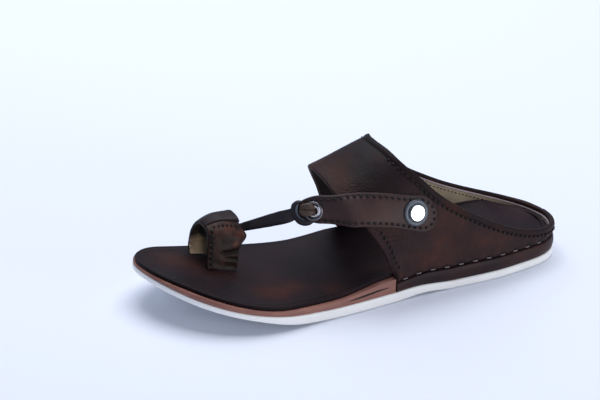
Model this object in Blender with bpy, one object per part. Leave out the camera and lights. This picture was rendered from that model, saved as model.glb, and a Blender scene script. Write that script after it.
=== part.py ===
# A men's leather slipper with a toe ring, left shoe: rubber outsole, board midsole, leather footbed,
# rand, saddle-shaped upper with a low heel wall, toe ring, side strap with eyelet and snap, and thong.
# The origin is on the floor under the heel, +Y points to the toe and +X to the inner side of the foot.
import math

import bmesh
import bpy
import numpy as np

for thing in list(bpy.data.objects):
    bpy.data.objects.remove(thing, do_unlink=True)

# Plan of the sole, in metres
sole_length = 0.274
heel_width = 0.0705
ball_width = 0.0955
heel_rest_from_back = 0.037

# Heights of the layers
outsole_thickness = 0.0065
outsole_edge_round = 0.0012
board_heel_thickness = 0.0092
board_ball_thickness = 0.0028
board_edge_round = 0.0004
footbed_thickness = 0.0023
footbed_edge_round = 0.0006
footbed_dish = 0.0013
footbed_cup = 0.0050
footbed_cup_reach = 0.40
toe_spring = 0.020
arch_lift = 0.0012

# Insets from the sole's edge
board_front_inset = 0.0005
footbed_clearance = 0.0010
upper_inset = 0.0010
rand_edge_inset = 0.0007
rand_bulge = 0.0008

# Upper
upper_wall = 0.0024
instep_height = 0.0890
instep_fall = 0.400
crest_offset = 0.003
crest_back_from_heel = 0.1243
crest_front_from_heel = 0.1610
ridge_back_from_heel = 0.0820
foot_front_from_heel = 0.1268
foot_step = 0.0009
rand_height = 0.0095
collar_roll_width = 0.0040
collar_roll_rise = 0.0007
heel_collar_flare = 0.0011

# Toe ring
ring_width = 0.0205
ring_span = 0.0240
ring_height = 0.0262
ring_wall = 0.0024
ring_from_heel = 0.2203
ring_offset = 0.0203
ring_lean = 0.0035
ring_front_drop = 0.0026
ring_foot_gap = 0.0002

# Side strap, its metal pieces and the thong
strap_width = 0.0205
strap_thickness = 0.0022
strap_seat_gap = 0.0005
strap_front_width = 0.0188
strap_end_from_heel = 0.0997
strap_front_lean = 0.18
strap_front_twist = -0.10
eyelet_from_heel = 0.1715
eyelet_offset = 0.0170
eyelet_height = 0.0585
strap_flat_behind = 0.0079
strap_tip_behind = 0.0035
strap_tip_ahead = 0.0130
eyelet_outer_diameter = 0.0128
eyelet_hole_diameter = 0.0080
eyelet_flange = 0.0007
eyelet_wall = 0.0005
snap_from_heel = 0.1142
washer_diameter = 0.0160
washer_thickness = 0.0012
cap_diameter = 0.0098
cap_height = 0.0022
thong_width = 0.0080
thong_thickness = 0.0020
thong_lead = 0.0205
thong_drop = 0.0048
thong_clearance = 0.0009
ring_corner_row = 3.75

# Clearance between pieces that touch
gap = 0.0003

# Detail
side_rows = 40
upper_spokes_per_row = 3
last_fullness = 2.3
heel_turn = 0.03

# Sole outline, anticlockwise from the heel's back: share of the length, share of the local width
outline_rows = (
    (0.0000, 0.038),
    (0.0073, 0.179),
    (0.0182, 0.275),
    (0.0365, 0.366),
    (0.0730, 0.450),
    (0.1277, 0.481),
    (0.1825, 0.474),
    (0.2555, 0.461),
    (0.3285, 0.456),
    (0.4015, 0.428),
    (0.4745, 0.428),
    (0.5474, 0.422),
    (0.6204, 0.431),
    (0.6752, 0.450),
    (0.7299, 0.466),
    (0.7847, 0.471),
    (0.8394, 0.464),
    (0.8759, 0.453),
    (0.9124, 0.435),
    (0.9562, 0.372),
    (0.9854, 0.277),
    (1.0000, 0.157),
    (0.9927, 0.021),
    (0.9745, -0.105),
    (0.9526, -0.209),
    (0.9307, -0.293),
    (0.9051, -0.366),
    (0.8759, -0.427),
    (0.8394, -0.481),
    (0.7847, -0.523),
    (0.7299, -0.532),
    (0.6752, -0.514),
    (0.6204, -0.497),
    (0.5474, -0.491),
    (0.4745, -0.502),
    (0.4015, -0.522),
    (0.3285, -0.544),
    (0.2555, -0.537),
    (0.1825, -0.514),
    (0.1277, -0.471),
    (0.0730, -0.413),
    (0.0365, -0.326),
    (0.0182, -0.234),
    (0.0073, -0.127),
)

# Board thickness above the outsole: share of the length, share of the way from ball to heel thickness
board_rows = (
    (0.00, 0.62),
    (0.20, 0.68),
    (0.36, 0.84),
    (0.45, 0.93),
    (0.50, 0.86),
    (0.545, 0.58),
    (0.60, 0.24),
    (0.70, 0.10),
    (0.80, 0.00),
    (0.92, 0.00),
    (1.00, -0.18),
)

# Footbed inset from the sole's edge: share of the length, share of the inset inside the upper
footbed_rows = (
    (0.00, 1.00),
    (0.48, 1.00),
    (0.54, 0.86),
    (0.60, 0.74),
    (0.70, 0.60),
    (0.78, 0.32),
    (0.85, 0.53),
    (0.92, 0.73),
    (0.97, 0.53),
    (1.00, 0.28),
)

# Footbed's dish: share of the length, share of the dish
dish_rows = (
    (0.00, 1.0),
    (0.45, 1.0),
    (0.70, 0.7),
    (1.00, 0.2),
)

# Footbed's raised inner edge: share of the length, share of the cup
cup_rows = (
    (0.00, 0.00),
    (0.05, 0.04),
    (0.08, 0.30),
    (0.12, 0.90),
    (0.18, 1.00),
    (0.30, 0.95),
    (0.40, 0.60),
    (0.50, 0.15),
    (0.56, 0.00),
    (1.00, 0.00),
)

# Rand's outer face: share of the rand's height, share of its bulge
rand_face_rows = (
    (0.00, 0.0),
    (0.22, 0.6),
    (0.50, 1.0),
    (0.80, 0.6),
    (1.00, 0.0),
)

# Rand height: share of the length, share of the rand's greatest height
rand_rows = (
    (0.00, 0.88),
    (0.12, 0.95),
    (0.28, 1.04),
    (0.36, 1.00),
    (0.42, 0.82),
    (0.463, 0.60),
)

# Upper, from the crest down the outer side, round the heel and up the inner side.
# Columns: side (-1 outer, 1 inner), lower edge's place (0 heel, 1 front foot, 2 crest's front), its climb
# from base to crest, collar's place (0 heel, 1 crest's back), collar's share of the instep height
spoke_rows = (
    (-1, 2.000, 1.000, 1.000, 1.000),
    (-1, 1.993, 0.860, 0.983, 0.986),
    (-1, 1.949, 0.680, 0.949, 0.932),
    (-1, 1.761, 0.500, 0.904, 0.867),
    (-1, 1.515, 0.330, 0.857, 0.807),
    (-1, 1.338, 0.223, 0.809, 0.737),
    (-1, 1.219, 0.150, 0.758, 0.674),
    (-1, 1.124, 0.076, 0.713, 0.625),
    (-1, 1.038, 0.034, 0.690, 0.602),
    (-1, 1.003, 0.016, 0.668, 0.583),
    (-1, 1.000, 0.000, 0.645, 0.560),
    (-1, 0.929, 0.000, 0.591, 0.516),
    (-1, 0.843, 0.000, 0.535, 0.471),
    (-1, 0.735, 0.000, 0.475, 0.425),
    (-1, 0.605, 0.000, 0.407, 0.376),
    (-1, 0.465, 0.000, 0.332, 0.328),
    (-1, 0.335, 0.000, 0.253, 0.287),
    (-1, 0.216, 0.000, 0.173, 0.260),
    (-1, 0.119, 0.000, 0.101, 0.246),
    (-1, 0.052, 0.000, 0.046, 0.236),
    (-1, 0.013, 0.000, 0.012, 0.223),
    (1, 0.000, 0.000, 0.000, 0.211),
    (1, 0.013, 0.000, 0.012, 0.206),
    (1, 0.052, 0.000, 0.046, 0.208),
    (1, 0.119, 0.000, 0.101, 0.220),
    (1, 0.216, 0.000, 0.173, 0.247),
    (1, 0.335, 0.000, 0.253, 0.285),
    (1, 0.465, 0.000, 0.332, 0.328),
    (1, 0.605, 0.000, 0.407, 0.373),
    (1, 0.735, 0.000, 0.475, 0.417),
    (1, 0.843, 0.000, 0.535, 0.460),
    (1, 0.929, 0.000, 0.591, 0.502),
    (1, 1.000, 0.000, 0.645, 0.542),
    (1, 1.003, 0.016, 0.668, 0.560),
    (1, 1.081, 0.034, 0.690, 0.580),
    (1, 1.175, 0.076, 0.713, 0.607),
    (1, 1.313, 0.150, 0.758, 0.663),
    (1, 1.428, 0.230, 0.809, 0.735),
    (1, 1.537, 0.330, 0.857, 0.807),
    (1, 1.703, 0.480, 0.904, 0.867),
    (1, 1.870, 0.670, 0.949, 0.932),
    (1, 1.971, 0.850, 0.983, 0.986),
    (1, 2.000, 1.000, 1.000, 1.000),
)

# Toe ring's wall across its width: place from the middle (-1 heel side, 1 toe side), share of the wall
ring_section = (
    (-1.0, 0.0),
    (0.0, 0.0),
    (0.5, 0.0),
    (1.0, 0.0),
    (1.0, 1.0),
    (0.5, 1.08),
    (0.0, 1.12),
    (-1.0, 1.0),
)

# Toe ring seen from the front, from the foot between the toes over the top to the inner foot:
# share of the span from the near foot, share of the height
ring_rows = (
    (0.000, 0.000),
    (0.020, 0.180),
    (0.060, 0.420),
    (0.110, 0.680),
    (0.200, 0.880),
    (0.380, 0.985),
    (0.600, 1.000),
    (0.820, 0.930),
    (0.990, 0.750),
    (1.070, 0.520),
    (1.060, 0.280),
    (0.990, 0.110),
    (0.890, 0.000),
)

# Side strap on the outer side: share of the length, centre's share of the instep height above the floor
strap_rows = (
    (0.3640, 0.587),
    (0.3900, 0.604),
    (0.4170, 0.617),
    (0.4500, 0.638),
    (0.4850, 0.663),
    (0.5200, 0.680),
    (0.5500, 0.689),
    (0.5620, 0.690),
)

# Thong from over the strap's front end to behind the ring: share of the way, rise as a share of the
# way's length, share of the turn from the strap's direction to the ring's, share of the thong's width
thong_rows = (
    (0.00, 0.000, 0.0, 1.00),
    (0.25, 0.000, 0.3, 0.95),
    (0.50, 0.000, 0.6, 0.85),
    (0.76, 0.000, 0.9, 0.75),
    (1.00, 0.000, 1.0, 0.65),
)


def material(name, colour, roughness, metallic=0.0):
    made = bpy.data.materials.new(name)
    made.use_nodes = True
    shader = made.node_tree.nodes["Principled BSDF"]
    shader.inputs["Base Color"].default_value = (*colour, 1.0)
    shader.inputs["Roughness"].default_value = roughness
    shader.inputs["Metallic"].default_value = metallic
    made.diffuse_color = (*colour, 1.0)
    return made


def add_object(name, points, faces, finish, sharp_degrees=40):
    mesh = bpy.data.meshes.new(name)
    mesh.from_pydata([tuple(float(value) for value in point) for point in points], [], faces)
    shape = bmesh.new()
    shape.from_mesh(mesh)
    bmesh.ops.recalc_face_normals(shape, faces=shape.faces)
    shape.to_mesh(mesh)
    shape.free()
    mesh.shade_smooth()
    mesh.set_sharp_from_angle(angle=math.radians(sharp_degrees))
    made = bpy.data.objects.new(name, mesh)
    if finish:
        made.data.materials.append(finish)
    bpy.context.scene.collection.objects.link(made)
    return made


def smooth_rows(rows, at):
    # Monotone cubic through rows of (position, value), held level past both ends
    xs = np.array([row[0] for row in rows], float)
    ys = np.array([row[1] for row in rows], float)
    steps = np.diff(xs)
    slopes = np.diff(ys) / steps
    tangents = np.zeros(len(xs))
    for i in range(1, len(xs) - 1):
        if slopes[i - 1] * slopes[i] > 0:
            weight_a = 2 * steps[i] + steps[i - 1]
            weight_b = steps[i] + 2 * steps[i - 1]
            tangents[i] = (weight_a + weight_b) / (weight_a / slopes[i - 1] + weight_b / slopes[i])
    at = np.clip(np.asarray(at, float), xs[0], xs[-1])
    i = np.clip(np.searchsorted(xs, at, side="right") - 1, 0, len(xs) - 2)
    h = steps[i]
    t = (at - xs[i]) / h
    return (
        ys[i] * (1 + 2 * t) * (1 - t) ** 2
        + ys[i + 1] * t * t * (3 - 2 * t)
        + tangents[i] * h * t * (1 - t) ** 2
        - tangents[i + 1] * h * t * t * (1 - t)
    )


def closed_spline(points, per_span):
    # Periodic cubic spline through the points, evaluated evenly in each span
    p = np.asarray(points, float)
    count = len(p)
    following = np.roll(p, -1, axis=0)
    h = np.linalg.norm(following - p, axis=1)
    slope = (following - p) / h[:, None]
    system = np.zeros((count, count))
    for i in range(count):
        system[i, i - 1] = h[i - 1]
        system[i, i] = 2 * (h[i - 1] + h[i])
        system[i, (i + 1) % count] = h[i]
    bend = np.linalg.solve(system, 6 * (slope - np.roll(slope, 1, axis=0)))
    bend_after = np.roll(bend, -1, axis=0)
    samples = []
    for i in range(count):
        for share in np.arange(per_span) / per_span:
            a = h[i] * (1 - share)
            b = h[i] * share
            samples.append(
                (bend[i] * a**3 + bend_after[i] * b**3) / (6 * h[i])
                + (p[i] / h[i] - bend[i] * h[i] / 6) * a
                + (following[i] / h[i] - bend_after[i] * h[i] / 6) * b
            )
    return np.array(samples)


def local_width(along):
    blend = np.clip((np.asarray(along) - 0.30) / 0.32, 0, 1)
    blend = blend * blend * (3 - 2 * blend)
    return heel_width + (ball_width - heel_width) * blend


class Outline:
    # The sole's edge in plan: each side as a function of the distance from the heel's back
    def __init__(self):
        table = np.array(outline_rows)
        points = np.c_[table[:, 1] * local_width(table[:, 0]), table[:, 0] * sole_length]
        curve = closed_spline(points, 60)
        heel = int(curve[:, 1].argmin())
        curve = np.roll(curve, -heel, axis=0)
        curve[:, 1] -= curve[0, 1]
        curve[:, 1] *= sole_length / curve[:, 1].max()
        tangent = np.roll(curve, -1, axis=0) - np.roll(curve, 1, axis=0)
        tangent /= np.linalg.norm(tangent, axis=1)[:, None]
        normal = np.c_[tangent[:, 1], -tangent[:, 0]]
        toe = int(curve[:, 1].argmax())
        self.inner = (curve[: toe + 1], normal[: toe + 1])
        last = np.r_[np.arange(toe, len(curve)), 0][::-1]
        self.outer = (curve[last], normal[last])

    def edge(self, side, distance, inset=0.0):
        # Points in plan on the inner (+1) or outer (-1) side, moved inwards by the inset
        curve, normal = self.inner if side > 0 else self.outer
        distance = np.clip(np.asarray(distance, float), 0, sole_length)
        xy = np.stack([np.interp(distance, curve[:, 1], curve[:, k]) for k in (0, 1)], axis=-1)
        out = np.stack([np.interp(distance, curve[:, 1], normal[:, k]) for k in (0, 1)], axis=-1)
        out /= np.linalg.norm(out, axis=-1)[..., None]
        xy = xy - out * np.asarray(inset, float)[..., None]
        xy[..., 1] -= heel_rest_from_back
        return xy


outline = Outline()


def share_of(y):
    return (np.asarray(y, float) + heel_rest_from_back) / sole_length


def lift(y):
    # Height of the sole's underside above the floor: flat heel, low arch, flat ball, toe spring
    along = share_of(y)
    spring = toe_spring * np.clip((along - 0.60) / 0.40, 0, None) ** 1.9
    arch = np.clip((along - 0.31) / 0.16, 0, 1)
    return spring + arch_lift * np.sin(np.pi * arch) ** 2


def deck_height(y):
    return lift(y) + outsole_thickness


def board_thickness(y):
    share = smooth_rows(board_rows, share_of(y))
    return board_ball_thickness + (board_heel_thickness - board_ball_thickness) * share


def board_top(y):
    return deck_height(y) + gap + board_thickness(y)


def rand_top(y):
    return deck_height(y) + gap + rand_height * smooth_rows(rand_rows, share_of(y))


def row_distances():
    # Rows across the sole, closer together at heel and toe, with a step at the upper's front feet
    angles = np.pi * np.arange(1, side_rows + 1) / (side_rows + 1)
    rows = list(sole_length / 2 * (1 - np.cos(angles)))
    rows = [row for row in rows if abs(row - foot_front_from_heel) > 0.0015]
    return np.array(sorted(rows + [foot_front_from_heel, foot_front_from_heel + foot_step]))


rows = row_distances()


def ring_points(inset, height):
    # Closed ring round the sole: heel, inner side forwards, toe, outer side back
    def side_points(side, distances):
        along = distances / sole_length
        xy = outline.edge(side, distances, inset(side, along))
        return np.c_[xy, height(xy[:, 1])]

    heel = side_points(1, np.array([0.0]))
    toe = side_points(1, np.array([sole_length]))
    return np.vstack([heel, side_points(1, rows), toe, side_points(-1, rows)[::-1]])


def level(y):
    return 0.0


def slab(name, levels, columns, dish, finish, cup=level):
    # A closed layer from rings, lowest first, with flat underside rows and a dished top whose
    # inner side may rise in a cup
    rings = [ring_points(inset, height) for inset, height in levels]
    count = len(rings[0])
    for ring in rings[1:]:
        inner_side = ring[1:len(rows) + 1]
        inner_side[:, 2] += cup(inner_side[:, 1])
    points = [point for ring in rings for point in ring]
    faces = []
    for ring in range(len(rings) - 1):
        for i in range(count):
            a = ring * count + i
            b = ring * count + (i + 1) % count
            faces.append((a, b, b + count, a + count))
    pairs = len(rows)

    def cap(ring_start, ring, inner_columns, sunk, raised, upward):
        index_rows = []
        for row in range(1, pairs + 1):
            inner_side = ring[row]
            outer_side = ring[count - row]
            line = [ring_start + row]
            for column in range(1, inner_columns + 1):
                share = column / (inner_columns + 1)
                point = inner_side * (1 - share) + outer_side * share
                point[2] -= sunk(point[1]) * (1 - (2 * share - 1) ** 4)
                point[2] += raised(point[1]) * (max(0.0, 1 - share / footbed_cup_reach) ** 1.5 - (1 - share))
                line.append(len(points))
                points.append(point)
            line.append(ring_start + count - row)
            index_rows.append(line)
        cells = []
        for near, far in zip(index_rows, index_rows[1:]):
            for column in range(len(near) - 1):
                cells.append((near[column], near[column + 1], far[column + 1], far[column]))
        heel = ring_start
        toe = ring_start + pairs + 1
        for column in range(len(index_rows[0]) - 1):
            cells.append((heel, index_rows[0][column + 1], index_rows[0][column]))
            cells.append((toe, index_rows[-1][column], index_rows[-1][column + 1]))
        for cell in cells:
            faces.append(tuple(reversed(cell)) if upward else cell)

    cap(0, rings[0], 1, level, level, False)
    cap((len(rings) - 1) * count, rings[-1], columns, dish, cup, True)
    return add_object(name, points, faces, finish)


def behind_foot(along):
    return along < (foot_front_from_heel + 0.5 * foot_step) / sole_length


def even_inset(value):
    return lambda side, along: np.full(np.shape(along), value)


def outsole(finish):
    levels = (
        (even_inset(outsole_edge_round), lift),
        (even_inset(0.0002), lambda y: lift(y) + 0.75 * outsole_edge_round),
        (even_inset(0.0), lambda y: lift(y) + 0.5 * outsole_thickness),
        (even_inset(0.0002), lambda y: deck_height(y) - 0.5 * outsole_edge_round),
        (even_inset(0.75 * outsole_edge_round), deck_height),
    )
    return slab("outsole", levels, 1, level, finish)


def board_inset(extra):
    rear = upper_inset + upper_wall + 2 * gap

    def inset(side, along):
        return np.where(behind_foot(along), rear, board_front_inset) + extra

    return inset


def midsole(finish):
    levels = (
        (board_inset(board_edge_round), lambda y: deck_height(y) + gap),
        (board_inset(0.0), lambda y: deck_height(y) + gap + board_edge_round),
        (board_inset(0.0), lambda y: board_top(y) - board_edge_round),
        (board_inset(board_edge_round), board_top),
    )
    return slab("midsole", levels, 1, level, finish)


def footbed_inset(extra):
    rear = upper_inset + upper_wall + footbed_clearance

    def inset(side, along):
        return rear * smooth_rows(footbed_rows, along) + extra

    return inset


def footbed_top(y):
    return board_top(y) + gap + footbed_thickness


def footbed(finish):
    levels = (
        (footbed_inset(0.0002), lambda y: board_top(y) + gap),
        (footbed_inset(0.0), lambda y: footbed_top(y) - footbed_edge_round),
        (footbed_inset(footbed_edge_round), footbed_top),
    )

    def dish(y):
        return footbed_dish * smooth_rows(dish_rows, share_of(y))

    def cup(y):
        return footbed_cup * smooth_rows(cup_rows, share_of(y))

    return slab("footbed", levels, 5, dish, finish, cup)


def loft(name, sections, finish, closed_path=False, sharp_degrees=40):
    # Joins sections of equal point count; each section runs anticlockwise seen from the path's end
    sections = np.asarray(sections, float)
    count, per = sections.shape[:2]
    points = sections.reshape(-1, 3)
    faces = []
    for i in range(count if closed_path else count - 1):
        for k in range(per):
            a = i * per + k
            b = i * per + (k + 1) % per
            c = ((i + 1) % count) * per + (k + 1) % per
            d = ((i + 1) % count) * per + k
            faces.append((a, b, c, d))
    if not closed_path:
        faces.append(tuple(reversed(range(per))))
        faces.append(tuple((count - 1) * per + k for k in range(per)))
    return add_object(name, points, faces, finish, sharp_degrees)


def rand_path():
    # Stations from the outer front foot round the heel to the inner front foot
    behind = rows[rows < foot_front_from_heel + 0.5 * foot_step]
    outer = [(-1, distance) for distance in behind[::-1]]
    inner = [(1, distance) for distance in behind]
    return outer + [(1, 0.0)] + inner


def rand(finish):
    inner_inset = upper_inset + upper_wall
    face = tuple((rand_edge_inset - share * rand_bulge, height) for height, share in rand_face_rows)
    profile = ((inner_inset, 0.0),) + face + ((inner_inset, 1.0),)
    sections = []
    for side, distance in rand_path():
        section = []
        for inset, share in profile:
            x, y = outline.edge(side, distance, inset)
            low = deck_height(y) + gap
            section.append((x, y, low + (rand_top(y) - low) * share))
        sections.append(section)
    return loft("rand", sections, finish)


def instep_line(y):
    # Height of the last's ridge above the floor, falling towards the toe
    crest_back = crest_back_from_heel - heel_rest_from_back
    return instep_height - instep_fall * (y - crest_back)


def ridge_place(y):
    # The ridge stops short of the heel, so the ribs at the heel lean forwards to it
    return max(y, ridge_back_from_heel - heel_rest_from_back)


def on_last(side, along, climb, offset=0.0):
    # A point on the last: along is the rib's foot on the sole's edge, climb runs from foot to ridge
    def raw(along_value, climb_value):
        x, y = outline.edge(side, along_value * sole_length, upper_inset)
        ridge_y = ridge_place(y)
        base = rand_top(y) + gap
        angle = climb_value * math.pi / 2
        across = max(math.cos(angle), 0.0) ** (2 / last_fullness)
        up = math.sin(angle) ** (2 / last_fullness)
        ridge = instep_line(ridge_y)
        return np.array([
            crest_offset + (x - crest_offset) * across,
            ridge_y + (y - ridge_y) * across,
            base + (ridge - base) * up,
        ])

    point = raw(along, climb)
    if offset == 0.0:
        return point
    step = 0.004
    if along < heel_turn:
        distance = along * sole_length
        normal = np.append(outline.edge(side, distance) - outline.edge(side, distance, 0.001), 0.0)
    elif climb > 1 - step:
        fore = raw(along + step, 1.0) - raw(along - step, 1.0)
        normal = np.cross(np.array([side, 0.0, 0.0]), fore) * side
    else:
        fore = raw(along + step, climb) - raw(along - step, climb)
        rise = raw(along, climb + step) - raw(along, max(climb - step, 0.0))
        normal = np.cross(fore, rise) * side
    if climb < 0.01:
        normal[2] = 0.0
    normal /= np.linalg.norm(normal)
    return point + normal * offset


def climb_for_height(side, along, share):
    # The climb at which the last stands a share of the instep height above the floor
    y = along * sole_length - heel_rest_from_back
    base = rand_top(y) + gap
    total = instep_line(ridge_place(y)) - base
    ratio = min(max(share * instep_height - base, 0.0) / total, 1.0)
    return math.asin(ratio ** (last_fullness / 2)) * 2 / math.pi


def spoke_table():
    # The short table refined: signed side, lower edge and collar edge for each spoke
    table = np.array(spoke_rows)
    index = np.arange(len(table))
    fine = np.linspace(0, len(table) - 1, (len(table) - 1) * upper_spokes_per_row + 1)
    columns = [smooth_rows(list(zip(index, table[:, k])), fine) for k in range(1, 5)]
    heel_row = int(table[:, 1].argmin())
    sides = np.where(fine < heel_row, -1, 1)
    return list(zip(sides, *columns))


def spoke_points(spoke, shares):
    side, foot_place, foot_climb, collar_place, collar_share = spoke
    foot_front = foot_front_from_heel / sole_length
    crest_front = crest_front_from_heel / sole_length
    past_foot = max(foot_place - 1, 0)
    foot_along = min(foot_place, 1) * foot_front + past_foot * (crest_front - foot_front)
    collar_along = collar_place * crest_back_from_heel / sole_length
    collar_climb = climb_for_height(side, collar_along, collar_share)
    if collar_share >= 0.9999:
        collar_climb = 1.0
    return [
        (side, foot_along + (collar_along - foot_along) * t, foot_climb + (collar_climb - foot_climb) * t)
        for t in shares
    ]


def upper(finish):
    spokes = spoke_table()
    flat_rows = 7
    outer = []
    inner = []
    for spoke in spokes:
        ends = [on_last(*place) for place in spoke_points(spoke, (0.0, 1.0))]
        length = float(np.linalg.norm(ends[1] - ends[0]))
        roll = min(collar_roll_width / length, 0.6)
        shares = list(np.linspace(0, 1 - roll, flat_rows)) + [1 - 0.9 * roll, 1 - 0.5 * roll, 1.0]
        heel_share = max(0.0, 1 - spoke[3] / 0.34)
        rise = collar_roll_rise + heel_collar_flare * heel_share
        rises = [0.0] * flat_rows + [0.8 * rise, rise, 0.55 * rise]
        places = spoke_points(spoke, shares)
        outer.append([on_last(*place, offset=lifted) if lifted else on_last(*place)
                      for place, lifted in zip(places, rises)])
        inner.append([on_last(*place, offset=-upper_wall) for place in places])
    outer = np.array(outer)
    inner = np.array(inner)
    # The crest spoke is shared by the table's first and last rows
    outer = outer[:-1]
    inner = inner[:-1]
    count, per = outer.shape[:2]
    points = np.vstack([outer.reshape(-1, 3), inner.reshape(-1, 3)])
    skin = count * per
    faces = []
    for i in range(count):
        following = (i + 1) % count
        for k in range(per - 1):
            a = i * per + k
            b = following * per + k
            faces.append((a, b, b + 1, a + 1))
            faces.append((skin + a, skin + a + 1, skin + b + 1, skin + b))
        low_a = i * per
        low_b = following * per
        faces.append((low_a, skin + low_a, skin + low_b, low_b))
        top_a = low_a + per - 1
        top_b = low_b + per - 1
        faces.append((top_a, top_b, skin + top_b, skin + top_a))
    return add_object("upper", points, faces, finish)


def ring_path(stations):
    # The ring's inner face seen from the front, its direction and its outward normal
    table = np.array(ring_rows)
    index = np.arange(len(table))
    path = np.stack([
        ring_offset + (smooth_rows(list(zip(index, table[:, 0])), stations) - 0.5) * ring_span,
        smooth_rows(list(zip(index, table[:, 1])), stations) * ring_height,
    ], axis=-1)
    tangent = np.gradient(path, axis=0)
    tangent /= np.linalg.norm(tangent, axis=1)[:, None]
    return path, tangent, np.c_[-tangent[:, 1], tangent[:, 0]]


def toe_ring(finish):
    path, _, outward = ring_path(np.linspace(0, len(ring_rows) - 1, 31))
    centre_y = ring_from_heel - heel_rest_from_back
    base = footbed_top(centre_y)
    sections = []
    for i, (x, height) in enumerate(path):
        lean = -ring_lean * height / ring_height
        section = []
        for y_share, thickness in ring_section:
            y = centre_y + lean + y_share * ring_width / 2
            drop = ring_front_drop * max(0.0, y_share) * height / ring_height
            foot = footbed_top(y) + ring_foot_gap
            foot_share = max(0.0, 1 - height / (0.5 * ring_height))
            ground = foot * foot_share + base * (1 - foot_share)
            side_x = x + outward[i, 0] * ring_wall * thickness
            side_z = ground + height - drop + outward[i, 1] * ring_wall * thickness * min(1.0, height / 0.004)
            section.append((side_x, y, side_z))
        sections.append(section)
    return loft("toe_ring", sections, finish)


def natural_path(points, per_span):
    # Smooth path through points, with slopes taken over the distance walked
    p = np.asarray(points, float)
    walked = np.r_[0.0, np.cumsum(np.linalg.norm(np.diff(p, axis=0), axis=1))]
    slopes = np.gradient(p, walked, axis=0)
    path = []
    for i in range(len(p) - 1):
        h = walked[i + 1] - walked[i]
        for t in np.arange(per_span) / per_span:
            path.append(
                p[i] * (1 + 2 * t) * (1 - t) ** 2
                + p[i + 1] * t * t * (3 - 2 * t)
                + slopes[i] * h * t * (1 - t) ** 2
                - slopes[i + 1] * h * t * t * (1 - t)
            )
    path.append(p[-1])
    return np.array(path)


def strap_front():
    # The eyelet's centre, and the strap's forward, upward and outward directions there
    centre = np.array([-eyelet_offset, eyelet_from_heel - heel_rest_from_back, eyelet_height])
    along, share = strap_rows[-1]
    forward = centre - on_last(-1, along, climb_for_height(-1, along, share))
    forward /= np.linalg.norm(forward)
    across = np.array([strap_front_lean, strap_front_twist, 1.0])
    across -= forward * across.dot(forward)
    across /= np.linalg.norm(across)
    return centre, forward, across, np.cross(across, forward)


def strap_grid(offset):
    # Points across and along the strap at an offset from the last, five columns wide
    shares = np.linspace(-1, 1, 5)
    back = strap_end_from_heel / sole_length
    front = strap_rows[-1][0]
    grid = []
    for part in (0.0, 0.03, 0.09, 0.17, 0.28, 0.4, 0.52, 0.64, 0.76, 0.88, 1.0):
        along = back + (front - back) * part
        centre_share = float(smooth_rows(strap_rows, along))
        from_end = along * sole_length - strap_end_from_heel
        half = strap_width / 2
        round_half = math.sqrt(max(half**2 - max(half - from_end, 0.0) ** 2, (0.25 * half) ** 2))
        centre_climb = climb_for_height(-1, along, centre_share)
        climbs = np.clip(centre_climb + np.linspace(-0.45, 0.45, 91), 0.0, 1.0)
        curve = np.array([on_last(-1, along, climb) for climb in climbs])
        walked = np.r_[0.0, np.cumsum(np.linalg.norm(np.diff(curve, axis=0), axis=1))]
        middle = np.interp(centre_climb, climbs, walked)
        reach = min(round_half, half)
        line = [on_last(-1, along, float(np.interp(middle + share * reach, walked, climbs)), offset=offset)
                for share in shares]
        grid.append(line)
    grid = np.array(grid)
    end_centre, direction, across, outward = strap_front()
    leaving = grid[-1] - grid[-2]
    leaving /= np.linalg.norm(leaving, axis=1)[:, None]
    half_front = strap_front_width / 2
    rows_out = list(grid)
    flat_centre = end_centre - direction * strap_flat_behind
    reach = np.linalg.norm(flat_centre - grid[-1].mean(axis=0))
    for t in (0.2, 0.4, 0.6, 0.8, 1.0):
        line = []
        for column, share in enumerate(shares):
            start = grid[-1][column]
            end = flat_centre + across * share * half_front + outward * offset
            a = start * (1 + 2 * t) * (1 - t) ** 2 + end * t * t * (3 - 2 * t)
            b = leaving[column] * reach * t * (1 - t) ** 2 - direction * reach * t * t * (1 - t)
            line.append(a + b)
        rows_out.append(line)
    for tip_share in (0.0, 0.25, 0.45, 0.65, 0.82, 0.94, 1.0):
        along_end = tip_share * (strap_tip_behind + strap_tip_ahead) - strap_tip_behind
        half = half_front * math.sqrt(max(1 - tip_share**1.5, 0.05))
        rows_out.append([end_centre + direction * along_end + across * share * half + outward * offset
                         for share in shares])
    return np.array(rows_out)


def turned(name, profile, centre, axis, finish, steps=28):
    # A closed ring or disc turned about an axis; the profile is (radius, height) from the axis outwards
    axis = np.asarray(axis, float) / np.linalg.norm(axis)
    helper = np.array([0.0, 0.0, 1.0]) if abs(axis[2]) < 0.9 else np.array([1.0, 0.0, 0.0])
    first = np.cross(helper, axis)
    first /= np.linalg.norm(first)
    second = np.cross(axis, first)
    ringed = profile[0][0] > 0
    points = []
    faces = []
    if ringed:
        per = len(profile)
        for i in range(steps):
            angle = 2 * math.pi * i / steps
            spoke = first * math.cos(angle) + second * math.sin(angle)
            points += [centre + spoke * radius + axis * height for radius, height in profile]
        for i in range(steps):
            for k in range(per):
                a = i * per + k
                b = i * per + (k + 1) % per
                c = ((i + 1) % steps) * per + (k + 1) % per
                d = ((i + 1) % steps) * per + k
                faces.append((a, b, c, d))
    else:
        body = profile[1:-1]
        per = len(body)
        for i in range(steps):
            angle = 2 * math.pi * i / steps
            spoke = first * math.cos(angle) + second * math.sin(angle)
            points += [centre + spoke * radius + axis * height for radius, height in body]
        low = len(points)
        points.append(centre + axis * profile[0][1])
        points.append(centre + axis * profile[-1][1])
        for i in range(steps):
            following = (i + 1) % steps
            for k in range(per - 1):
                faces.append((i * per + k, following * per + k, following * per + k + 1, i * per + k + 1))
            faces.append((low, following * per, i * per))
            faces.append((low + 1, i * per + per - 1, following * per + per - 1))
    return add_object(name, points, faces, finish, 30)


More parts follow.
